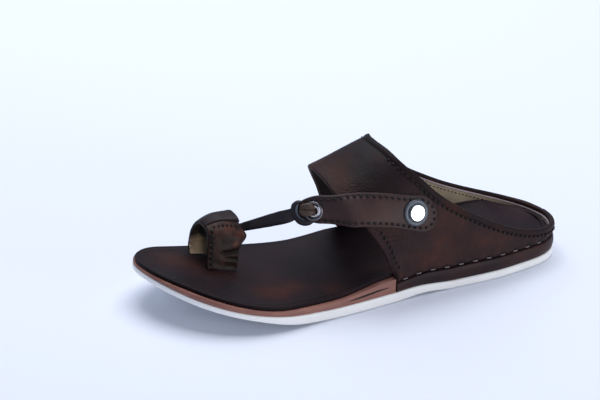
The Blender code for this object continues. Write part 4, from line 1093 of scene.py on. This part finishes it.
sections = ringSheet(stations, acrossShares, ringInside, ringWall)
rowsCount, per = sections.shape[:2]
faces = loftFaces(rowsCount, per)
half = len(acrossShares)
zones = [1 if half <= n % per < per - 1 else 0 for n in range((rowsCount - 1) * per)] + [0, 0]
flat = sections.reshape(-1, 3)
stationOfPoint = np.repeat(stations, per)
acrossOfPoint = np.tile(acrossShares + acrossShares[::-1], rowsCount)
outerFace = np.tile([1.0] * half + [0.0] * half, rowsCount)


def ringSpots(spots):
    found = np.zeros(len(stationOfPoint))
    for station, a, run, wide, strength in spots:
        found += strength * np.exp(-((stationOfPoint - station) / run) ** 2
                                   - ((acrossOfPoint - a) / wide) ** 2)
    return np.clip(found, 0, 1)


warm = ringSpots(ring["warmSpots"])
# Painted shade inside the loop, deeper toward its top and heel side, and along the top of the front edge
ringShade = np.clip((9.7 - stationOfPoint) / 0.8, 0.0, 0.92) + np.clip((0.5 - acrossOfPoint) * 2.2, 0, 0.92)
ringShade *= 1 - outerFace
ringShade += 0.8 * np.clip((acrossOfPoint - 0.93) / 0.07, 0, 1) * outerFace
ringShade += outerFace * ringSpots(ring["shadeSpots"])
addPiece("toeRingLoop", flat, faces, [ringLeather, ringLining], ["toe_ring"], zones=zones,
         fields={"warm": np.clip(warm, 0, 1), "dark": np.clip(ringShade, 0, 1)}, sharp=60)

flapShares = list(np.sin(np.linspace(-np.pi / 2, np.pi / 2, 23)) * 1.015)
flapStations = np.linspace(ring["flapFrom"], ring["flapTo"], 90)


def flapThickness(station, a):
    endAway = min(station - ring["flapFrom"], ring["flapTo"] - station) * 5.0
    edgeAway = (1.015 - abs(a)) * ring["width"] / 2
    soft = min(1.0, 0.35 + endAway / 0.9) * min(1.0, 0.35 + edgeAway / 0.9)
    return ring["flapThick"] * soft + 0.12 * noise.noise(Vector((station, a * 2, 9.0)))


def flapSections():
    # The flap's near edge runs aslant: lower at the heel side
    columns = []
    for a in flapShares:
        low = ring["flapFrom"] + ring["flapSlant"] * a
        stretch = (ring["flapTo"] - low) / (ring["flapTo"] - ring["flapFrom"])
        own = low + (flapStations - ring["flapFrom"]) * stretch
        columns.append(ringSheet(
            own, [a], lambda s, b: ring["wall"] - ring["flapSunk"],
            lambda s, b: ring["flapSunk"] + flapThickness(s - low + ring["flapFrom"], b)))
    outer = [c[:, 0] for c in columns]
    inner = [c[:, 1] for c in columns[::-1]]
    return np.stack(outer + inner, axis=1)


sections = flapSections()
rowsCount, per = sections.shape[:2]
faces = loftFaces(rowsCount, per)
addPiece("toeRingFlap", sections.reshape(-1, 3), faces, [flapLeather], sharp=60)


def ringSeam(fromStation, toStation, a, depth, finish, name, thread, inward=False):
    fine = np.linspace(fromStation, toStation, 80)
    path, out = ringPath(fine)
    line = np.array([ringPoint(x, h, *out[n], a, depth) for n, (x, h) in enumerate(path)])
    normals = np.array([[out[n][0], 0, out[n][1]] for n in range(len(fine))]) * (-1 if inward else 1)
    points, faces = threadRun(seamSpans(line, normals, ring["stitchPitch"], ring["stitchLength"]), thread)
    addPiece(name, points, faces, [finish])


def flapSeam(name):  # a row across the loop, just below the flap's near edge
    places = np.linspace(-0.86, 0.62, 30)
    rows, normals = [], []
    for a in places:
        path, out = ringPath(ring["flapFrom"] + ring["flapSlant"] * a - 0.42 + np.array([-0.05, 0.0, 0.05]))
        rows.append(ringPoint(path[1][0], path[1][1], out[1][0], out[1][1], a, ring["wall"] + 0.15))
        normals.append([out[1][0], 0, out[1][1]])
    points, faces = threadRun(seamSpans(np.array(rows), np.array(normals), 2.7, 1.3), 1.1)
    addPiece(name, points, faces, [darkThread])


ringSeam(0.3, 4.5, 0.74, ring["wall"] + 0.1, darkThread, "ringNearStitches", ring["thread"])
flapSeam("ringTopStitches")
ringSeam(9.3, 12.0, 0.93, -0.1, paleThread, "ringLiningStitches", 0.9, inward=True)
print("toe ring ready")

# Side strap with its eyelet, snap, thong and knot

strap = {
    "width": 20.5, "frontWidth": 17.2, "frontShift": 0.8, "rearDrop": 0.26, "thick": 2.2, "seat": 0.5,
    "endFromHeel": 99.7, "eyeletFromHeel": 171.5,
    "eyeletOffset": 17.0, "eyeletHeight": 58.5, "flatBehind": 7.9, "tipBehind": 3.5, "tipAhead": 11.2,
    "lean": 0.18, "twist": -0.10,
    "rows": [(0.3640, 0.587), (0.3900, 0.604), (0.4170, 0.617), (0.4500, 0.638), (0.4850, 0.663),
             (0.5200, 0.680), (0.5500, 0.689), (0.5620, 0.690)],
    "seamFromEdge": 2.4, "stitchPitch": 4.0, "stitchLength": 2.2, "thread": 1.6, "edgeRound": 0.8,
}
eyeletLook = {"outer": 12.6, "hole": 7.8, "wall": 0.5}
snapLook = {"fromHeel": 114.2, "washer": 16.0, "washerThick": 1.2, "cap": 9.8, "capHigh": 2.2}


def strapFront():
    eyeletY = strap["eyeletFromHeel"] - shoe["restFromBack"]
    centre = np.array([-strap["eyeletOffset"], eyeletY, strap["eyeletHeight"]])
    along, share = strap["rows"][-1]
    forward = unit(centre - lastPoint(np.array(-1), np.array(along), climbForHeight(along, share)))
    across = np.array([strap["lean"], strap["twist"], 1.0])
    across = unit(across - forward * across.dot(forward))
    return centre, forward, across, np.cross(across, forward)


eyeCentre, eyeForward, eyeAcross, eyeOut = strapFront()


def strapGrid(shares, offset):
    back, front = strap["endFromHeel"] / shoe["soleLength"], strap["rows"][-1][0]
    grid = []
    for part in np.r_[0.0, 0.006, 0.018, 0.035, 0.06, np.linspace(0.09, 1.0, 44)]:
        along = back + (front - back) * part
        centreShare = float(smoothRows(strap["rows"], along))
        fromEnd = along * shoe["soleLength"] - strap["endFromHeel"]
        half = strap["width"] / 2
        reach = min(math.sqrt(max(half**2 - max(half - fromEnd, 0.0) ** 2, (0.12 * half) ** 2)), half)
        centreClimb = float(climbForHeight(along, centreShare))
        climbs = np.clip(centreClimb + np.linspace(-0.45, 0.45, 121), 0.0, 1.0)
        curve = lastPoint(np.full(121, -1), np.full(121, along), climbs)
        run = np.r_[0.0, np.cumsum(np.linalg.norm(np.diff(curve, axis=0), axis=1))]
        middle = np.interp(centreClimb, climbs, run)
        lower = 1 + strap["rearDrop"] * max(0.0, 1 - part / 0.5) * (shares < 0)
        picked = np.interp(middle + shares * reach * lower, run, climbs)
        sides, alongs, offsets = (np.full(len(shares), value) for value in (-1, along, offset))
        grid.append(onLast(sides, alongs, picked, offsets))
    leaving = unit(grid[-1] - grid[-2])
    halfFront = strap["frontWidth"] / 2
    flatCentre = eyeCentre - eyeForward * strap["flatBehind"]
    reach = np.linalg.norm(flatCentre - grid[-1].mean(axis=0))
    start = grid[-1]
    for t in np.linspace(0.1, 1.0, 10):
        end = flatCentre + np.outer(shares * halfFront + strap["frontShift"], eyeAcross) + eyeOut * offset
        grid.append(start * (1 + 2 * t) * (1 - t) ** 2 + end * t * t * (3 - 2 * t)
                    + leaving * reach * t * (1 - t) ** 2 - eyeForward * reach * t * t * (1 - t))
    for tipShare in np.r_[-0.2, -0.1, np.sin(np.linspace(0, np.pi / 2, 22))]:
        alongEnd = tipShare * (strap["tipBehind"] + strap["tipAhead"]) - strap["tipBehind"]
        half = halfFront * math.sqrt(max(1 - max(tipShare, 0) ** 1.5, 0.02))
        places = np.outer(shares * half + strap["frontShift"], eyeAcross)
        grid.append(eyeCentre + eyeForward * alongEnd + places + eyeOut * offset)
    return np.array(grid)


shares = np.sin(np.linspace(-np.pi / 2, np.pi / 2, 33))
strapLow, strapHigh = strapGrid(shares, strap["seat"]), strapGrid(shares, strap["seat"] + strap["thick"])
strapUp = unit(strapHigh - strapLow)
lowerRim = np.linalg.norm(strapHigh - strapHigh[:, :1], axis=2)
upperRim = np.linalg.norm(strapHigh - strapHigh[:, -1:], axis=2)
rim = np.minimum(lowerRim, upperRim)
fromFront = np.linalg.norm(strapHigh - (eyeCentre + eyeForward * strap["tipAhead"] + eyeOut * 2.7), axis=2)
rim = np.minimum(rim, fromFront * 0.8)
strapRelief = -0.85 * np.clip(1 - rim / strap["edgeRound"], 0, 1) ** 2
strapRelief -= 0.30 * bell(rim - strap["seamFromEdge"], 0.8)
strapRelief += waves(strapHigh.reshape(-1, 3), 11, 0.3, 6.0).reshape(rim.shape) * np.clip(rim / 3, 0, 1)
strapTop = strapHigh + strapUp * strapRelief[..., None]
strapUnder = strapLow + strapUp * (0.5 * np.clip(1 - rim / strap["edgeRound"], 0, 1) ** 2)[..., None]
sections = np.concatenate([strapUnder, strapTop[:, ::-1]], axis=1)
rowsCount, per = sections.shape[:2]
faces = loftFaces(rowsCount, per)
flat = sections.reshape(-1, 3)
warm = 0.45 * bell(np.linalg.norm(flat[:, 1:] - np.array([100.0, 56.0]), axis=1), 12)
# Painted shade on the underside and in the top's seam groove; the top is darker at its rim too
strapGrooveShadeAndRimDark = 0.2 * bell(rim - strap["seamFromEdge"], 0.8) + 0.2 * bell(rim, 0.8)
dark = np.concatenate([0 * rim + 0.5, strapGrooveShadeAndRimDark[:, ::-1]], axis=1).reshape(-1)
strapPiece = addPiece("sideStrapLeather", flat, faces, [strapLeather], ["side_strap"],
                      fields={"warm": warm, "dark": np.clip(dark, 0, 1)}, sharp=60)


def turnedPiece(name, profile, centre, axis, finish, replaces, steps=64, sharp=40):
    axis = unit(axis)
    first = unit(np.cross(np.array([0.0, 0.0, 1.0]), axis))
    second = np.cross(axis, first)
    turns = 2 * np.pi * np.arange(steps) / steps
    spokes = np.outer(np.cos(turns), first) + np.outer(np.sin(turns), second)
    ringed = profile[0][0] > 0
    body = profile if ringed else profile[1:-1]
    points = [centre + s * r + axis * h for s in spokes for r, h in body]
    faces = gridFaces(steps, len(body), closedRows=True, closedColumns=ringed)
    if not ringed:
        low = len(points)
        points += [centre + axis * profile[0][1], centre + axis * profile[-1][1]]
        per = len(body)
        for i in range(steps):
            after = (i + 1) % steps
            faces += [(low, after * per, i * per), (low + 1, i * per + per - 1, after * per + per - 1)]
    return addPiece(name, points, faces, [finish], replaces, sharp=sharp)


cutterRadius = eyeletLook["hole"] / 2 + eyeletLook["wall"] + 0.2
cutterProfile = [(0, -12), (cutterRadius, -12), (cutterRadius, 12), (0, 12)]
cutter = turnedPiece("eyeletCutter", cutterProfile, eyeCentre, eyeOut, strapLeather, [])
hole = strapPiece.modifiers.new("eyeletHole", "BOOLEAN")
hole.operation, hole.object, hole.solver = "DIFFERENCE", cutter, "EXACT"
bpy.context.view_layer.update()
cutMesh = bpy.data.meshes.new_from_object(strapPiece.evaluated_get(bpy.context.evaluated_depsgraph_get()))
strapPiece.modifiers.clear()
strapPiece.data = cutMesh
bpy.data.objects.remove(cutter)

bore, flange = eyeletLook["hole"] / 2, eyeletLook["outer"] / 2
face = strap["seat"] + strap["thick"] + 0.1
rollTurns = np.linspace(0, math.pi, 12)
roll = [(bore + 1.35 + 0.85 * math.cos(a), face + 0.1 + 0.8 * math.sin(a)) for a in rollTurns]
profile = ([(bore, -0.6), (flange - 0.9, -0.7), (flange - 0.7, 0.0), (bore + 0.5, 0.0), (bore + 0.5, face),
            (bore + 2.2, face)] + roll + [(bore + 0.35, face - 1.4), (bore, face - 1.5)])
turnedPiece("eyeletRing", profile, eyeCentre, eyeOut, nickel, ["eyelet"])
# The lip round the bore is a bright ring: a painted highlight
lipTurns = np.linspace(0, 2 * math.pi, 17)[:-1]
lip = [(bore - 0.75 + 0.6 * math.cos(a), face - 0.5 + 0.6 * math.sin(a)) for a in lipTurns]
turnedPiece("eyeletLip", lip, eyeCentre, eyeOut, paintedHighlightNickel, [])

snapAlong = snapLook["fromHeel"] / shoe["soleLength"]
snapClimb = climbForHeight(snapAlong, float(smoothRows(strap["rows"], snapAlong)))
snapOut = lastNormal(np.array(-1), np.array(snapAlong), snapClimb)
snapSeat = lastPoint(np.array(-1), np.array(snapAlong), snapClimb) + snapOut * face
radius, thick = snapLook["washer"] / 2, snapLook["washerThick"]
washerProfile = [
    (0, 0), (radius - 0.4, 0), (radius, 0.25), (radius, 0.55 * thick), (radius - 0.3, 0.85 * thick),
    (radius - 1.0, thick), (radius - 2.0, 0.98 * thick), (radius - 2.6, 0.62 * thick),
    (0.6 * radius, 0.55 * thick), (0, 0.55 * thick),
]
turnedPiece("snapWasherDisc", washerProfile, snapSeat, snapOut, washerLacquer, ["snap_washer"])
radius, tall = snapLook["cap"] / 2, snapLook["capHigh"]
capProfile = [(0, 0), (radius - 0.5, 0), (radius - 0.1, 0.15), (radius, 0.3 * tall)]
for a in np.linspace(0.2, math.pi / 2, 5):
    capProfile.append((radius - 0.25 * (1 - math.cos(a)), (0.55 + 0.35 * math.sin(a)) * tall))
for s in (0.93, 0.9, 0.85, 0.7, 0.5, 0.3, 0.12):
    capProfile.append((radius * s, (0.9 + 0.035 * (1 - s * s)) * tall))
capProfile.append((0, 0.935 * tall))
capSeat = snapSeat + snapOut * (0.6 * thick)
turnedPiece("snapCapDome", capProfile, capSeat, snapOut, chrome, ["snap_cap"])


def strapSeam():  # even stitches 2 mm inside the edge: lower side, round the rear end, upper side
    lower, upper = [], []
    for row in range(len(strapTop) - 5):
        distances = np.linalg.norm(strapTop[row] - strapTop[row][0], axis=1)
        width = distances[-1]
        if width < 2.2 * strap["seamFromEdge"]:
            continue
        fromEnd = max(0.0, 10.2 - np.linalg.norm(strapTop[row].mean(axis=0) - strapTop[0].mean(axis=0)))
        pulled = strap["seamFromEdge"] * (1 + 0.35 * fromEnd / 10.2)
        for store, target in ((lower, pulled), (upper, width - pulled)):
            place = [np.interp(target, distances, strapTop[row][:, k]) for k in range(3)]
            store.append(place + list(strapUp[row][16]))
    rearEnd, apart = strapTop[0].mean(axis=0), strap["seamFromEdge"] + 0.6
    rear, front = ([p for p in side if np.linalg.norm(np.array(p[:3]) - rearEnd) > apart]
                   for side in (lower, upper))
    line = np.array(rear[::-1] + front)
    spans = seamSpans(line[:, :3], line[:, 3:], strap["stitchPitch"], strap["stitchLength"])
    points, faces = threadRun(spans, strap["thread"])
    addPiece("strapStitches", points, faces, [darkThread])


strapSeam()
print("strap, eyelet and snap ready")

thong = {
    "width": 8.0, "thick": 2.0, "clearance": 0.9, "corner": 3.75, "lead": 20.5, "drop": 4.8,
    "rows": [(0.0, 0.0, 1.0), (0.25, 0.3, 0.95), (0.5, 0.6, 0.85), (0.76, 0.9, 0.75), (1.0, 1.0, 0.65)],
}


def eyePoint(forward, across, out):  # a place measured from the eyelet's centre, in mm
    return eyeCentre + eyeForward * forward + eyeAcross * across + eyeOut * out


flatLace = [(-1, 0.35), (-1, -0.35), (-0.8, -0.9), (-0.3, -1), (0.3, -1), (0.8, -0.9), (1, -0.35), (1, 0.35),
            (0.8, 0.9), (0.3, 1), (-0.3, 1), (-0.8, 0.9)]


def thongRoute():
    path, out = ringPath(thong["corner"] + np.array([-0.1, 0.0, 0.1]))
    inside = path[1] - out[1] * (thong["clearance"] + thong["thick"] / 2)
    back = ringY - ring["lean"] - ring["width"] / 2
    ringEnd = np.array([inside[0], back, footbedTop(ringY) + inside[1]])
    up = np.array([out[1][1], 0.0, -out[1][0]])
    over = strap["seat"] + strap["thick"] + thong["thick"]
    start = eyeCentre + eyeOut * 0.6 * over + eyeForward * thong["lead"] - np.array([0, 0, thong["drop"]])
    end = ringEnd + thong["clearance"] * np.array([-1.6, -2.8, 1.6])
    route = [(eyePoint(8.5, -0.5, 1.6), eyeAcross, 0.75), (eyePoint(11.5, -1.6, 2.4), eyeAcross, 0.9),
             (eyePoint(15.0, -2.9, 3.0), eyeAcross, 1.0)]
    for share, turn, width in thong["rows"]:
        route.append((start + (end - start) * share, eyeAcross * (1 - turn) + up * turn, width))
    for reach in (0.06 * ring["width"], 7.5):
        route.append((ringEnd + np.array([0, reach, 0]), up, 0.65))
    return route


def lacePiece(name, route, width, thick, finish, replaces=(), perSpan=7, seed=1.0, outline=flatLace):
    places = naturalPath([p for p, _, _ in route], perSpan)
    stations = np.linspace(0, len(route) - 1, len(places))
    stops = range(len(route))
    wides = np.stack([np.interp(stations, stops, [w[k] for _, w, _ in route]) for k in range(3)], axis=-1)
    widths = np.interp(stations, stops, [s for _, _, s in route]) * width
    ripple = np.array([1 + 0.05 * noise.noise(Vector((s * 0.9, seed, 0.0))) for s in stations])
    points, faces = sweep(places, wides, outline, widths * ripple, np.full(len(places), thick) * ripple)
    # Painted shade at both ends, where the strips run into the eyelet, under the knot and into the toe ring
    ends = np.minimum(np.arange(len(places)), np.arange(len(places))[::-1]) / len(places)
    dark = np.repeat(0.9 * np.clip(1 - ends / 0.14, 0, 1), len(outline))
    return addPiece(name, points, faces, [finish], replaces, sharp=50, fields={"dark": dark})


lacePiece("thongStrip", thongRoute(), thong["width"], thong["thick"], thongLeather, ["thong"])

knotPieces = [  # rows: forward, across and out from the eyelet, the wide side's forward and across, width
    {"name": "laceUpperStrand", "width": 4.0, "thick": 2.8, "finish": laceLeather, "seed": 3.0, "rows": [
        (-0.9, 1.8, -1.5, 0, 1, 0.8), (-0.4, 2.3, 1.0, 0, 1, 0.95), (1.0, 2.9, 3.5, 0, 1, 1.0),
        (3.8, 3.1, 4.3, 0, 1, 1.1), (6.6, 2.2, 3.8, 0, 1, 0.95), (8.4, 0.9, 2.2, 0, 1, 0.7)]},
    {"name": "laceLowerStrand", "width": 4.2, "thick": 2.8, "finish": laceLeather, "seed": 4.0, "rows": [
        (-0.9, -0.8, -1.5, 0, 1, 0.8), (-0.2, -0.8, 1.0, 0, 1, 0.95), (1.7, -0.6, 3.6, 0, 1, 1.0),
        (4.6, -0.8, 4.5, 0, 1, 1.15), (7.0, -0.3, 3.9, 0, 1, 0.95), (8.6, 0.5, 2.2, 0, 1, 0.7)]},
    {"name": "knotWrap", "width": 4.0, "thick": 3.2, "finish": thongLeather, "seed": 5.0, "rows": [
        (7.6, 4.6, 0.4, 1, 1, 0.6), (9.4, 4.5, 1.6, 1, 1, 0.9), (11.3, 2.8, 2.4, 1, 0.4, 1.1),
        (11.6, -0.4, 2.8, 1, 0, 1.15), (10.4, -3.4, 3.0, 1, -0.4, 1.15), (8.2, -5.6, 3.1, 1, -1, 1.25),
        (5.4, -6.6, 3.0, 0.4, -1, 1.25), (2.6, -6.6, 2.3, 0, -1, 1.0), (0.6, -6.0, 0.6, 0, -1, 0.5)]},
    # A thin blue-grey cord along the knot's edge: a painted highlight
    {"name": "knotHighlightCord", "width": 1.5, "thick": 1.4, "finish": washerLacquer, "seed": 7.0, "rows": [
        (8.9, 4.2, 3.6, 1, 0, 0.6), (9.8, 2.2, 4.4, 1, 0, 1.0), (9.7, -0.9, 4.7, 1, 0, 1.0),
        (8.0, -3.6, 4.6, 1, 0, 0.9), (5.2, -5.0, 4.1, 1, 0, 0.5)]},
]
for knot in knotPieces:
    route = [(eyePoint(*row[:3]), eyeForward * row[3] + eyeAcross * row[4], row[5]) for row in knot["rows"]]
    lacePiece(knot["name"], route, knot["width"], knot["thick"], knot["finish"], seed=knot["seed"],
              outline=roundCord)
print("thong and knot ready")

# Slit: the cut in the board's outer side, below the throat, drawn as a dark strip: painted shade in the cut

slit = {"from": 96.0, "to": 124.0, "height": 0.52, "width": 1.3, "thick": 0.5, "rows": 30}
points = []
for y in np.linspace(slit["from"], slit["to"], slit["rows"]):
    distance = y + shoe["restFromBack"]
    x, y0 = edge(-1, distance, boardInset(-0.05)(-1, distance / shoe["soleLength"]))
    points.append((x, y0, deckHeight(y0) + 0.3 + slit["height"] * (boardTop(y0) - deckHeight(y0))))
taper = np.sin(np.pi * np.clip(np.linspace(0, 1, slit["rows"]), 0.04, 0.96)) ** 0.5
upward = [np.array([0, 0, 1.0])] * slit["rows"]
points, faces = sweep(points, upward, flatLace, slit["width"] * taper, [slit["thick"]] * slit["rows"])
addPiece("boardSlit", points, faces, [darkThread])
print("slit ready")

# Stage: floor, light and camera

stageLook = {"floor": "#e4e9f3", "sky": "#dfe9ff", "skyStrength": 0.36}
bpy.ops.mesh.primitive_plane_add(size=6, location=(0, 0, 0))
floor = bpy.context.object
floor.name = "floor"
floorFinish = newFinish("paleCard", Base_Color=linear(stageLook["floor"]), Roughness=0.75)[0]
floor.data.materials.append(floorFinish)
world = bpy.data.worlds.new("softStudio")
bpy.context.scene.world = world
world.use_nodes = True
world.node_tree.nodes["Background"].inputs["Color"].default_value = linear(stageLook["sky"])
world.node_tree.nodes["Background"].inputs["Strength"].default_value = stageLook["skyStrength"]


def softBox(name, place, target, size, power, colour):
    light = bpy.data.lights.new(name, "AREA")
    light.shape, light.size, light.energy = "DISK", size, power
    light.color = linear(colour)[:3]
    made = bpy.data.objects.new(name, light)
    made.location = place
    made.rotation_euler = (Vector(target) - Vector(place)).to_track_quat("-Z", "Y").to_euler()
    bpy.context.scene.collection.objects.link(made)


cameraLook = {
    "place": (-1.6964, 0.9828, 0.9419), "right": (-0.4349, -0.9000, 0.0277), "up": (0.3915, -0.1613, 0.9059),
    "forward": (0.8109, -0.4049, -0.4225), "lens": 210.0, "sensor": 36.0,
}
toCamera = unit(np.array(cameraLook["place"]) - snapSeat / 1000)
mirrored = 2 * snapOut.dot(toCamera) * snapOut - toCamera  # where the cap sees the front light
softBox("keyAbove", (0.55, -0.25, 2.3), (0, 0.08, 0.0), 2.2, 55, "#f6f8ff")
softBox("rimBack", (1.0, 0.1, 0.9), (0, 0.08, 0.05), 0.7, 2.2, "#f2f4ff")
softBox("frontLight", tuple(snapSeat / 1000 + mirrored * 1.7), (0, 0.08, 0.03), 0.9, 15, "#fffaf6")

camera = bpy.data.objects.new("camera", bpy.data.cameras.new("camera"))
camera.data.lens = cameraLook["lens"]
camera.data.sensor_width = cameraLook["sensor"]
axes = [Vector(cameraLook["right"]), Vector(cameraLook["up"]), -Vector(cameraLook["forward"])]
camera.matrix_world = Matrix.Translation(Vector(cameraLook["place"])) @ Matrix(axes).transposed().to_4x4()
bpy.context.scene.collection.objects.link(camera)
bpy.context.scene.camera = camera
bpy.context.scene.view_settings.view_transform = "Standard"
print("stage ready")
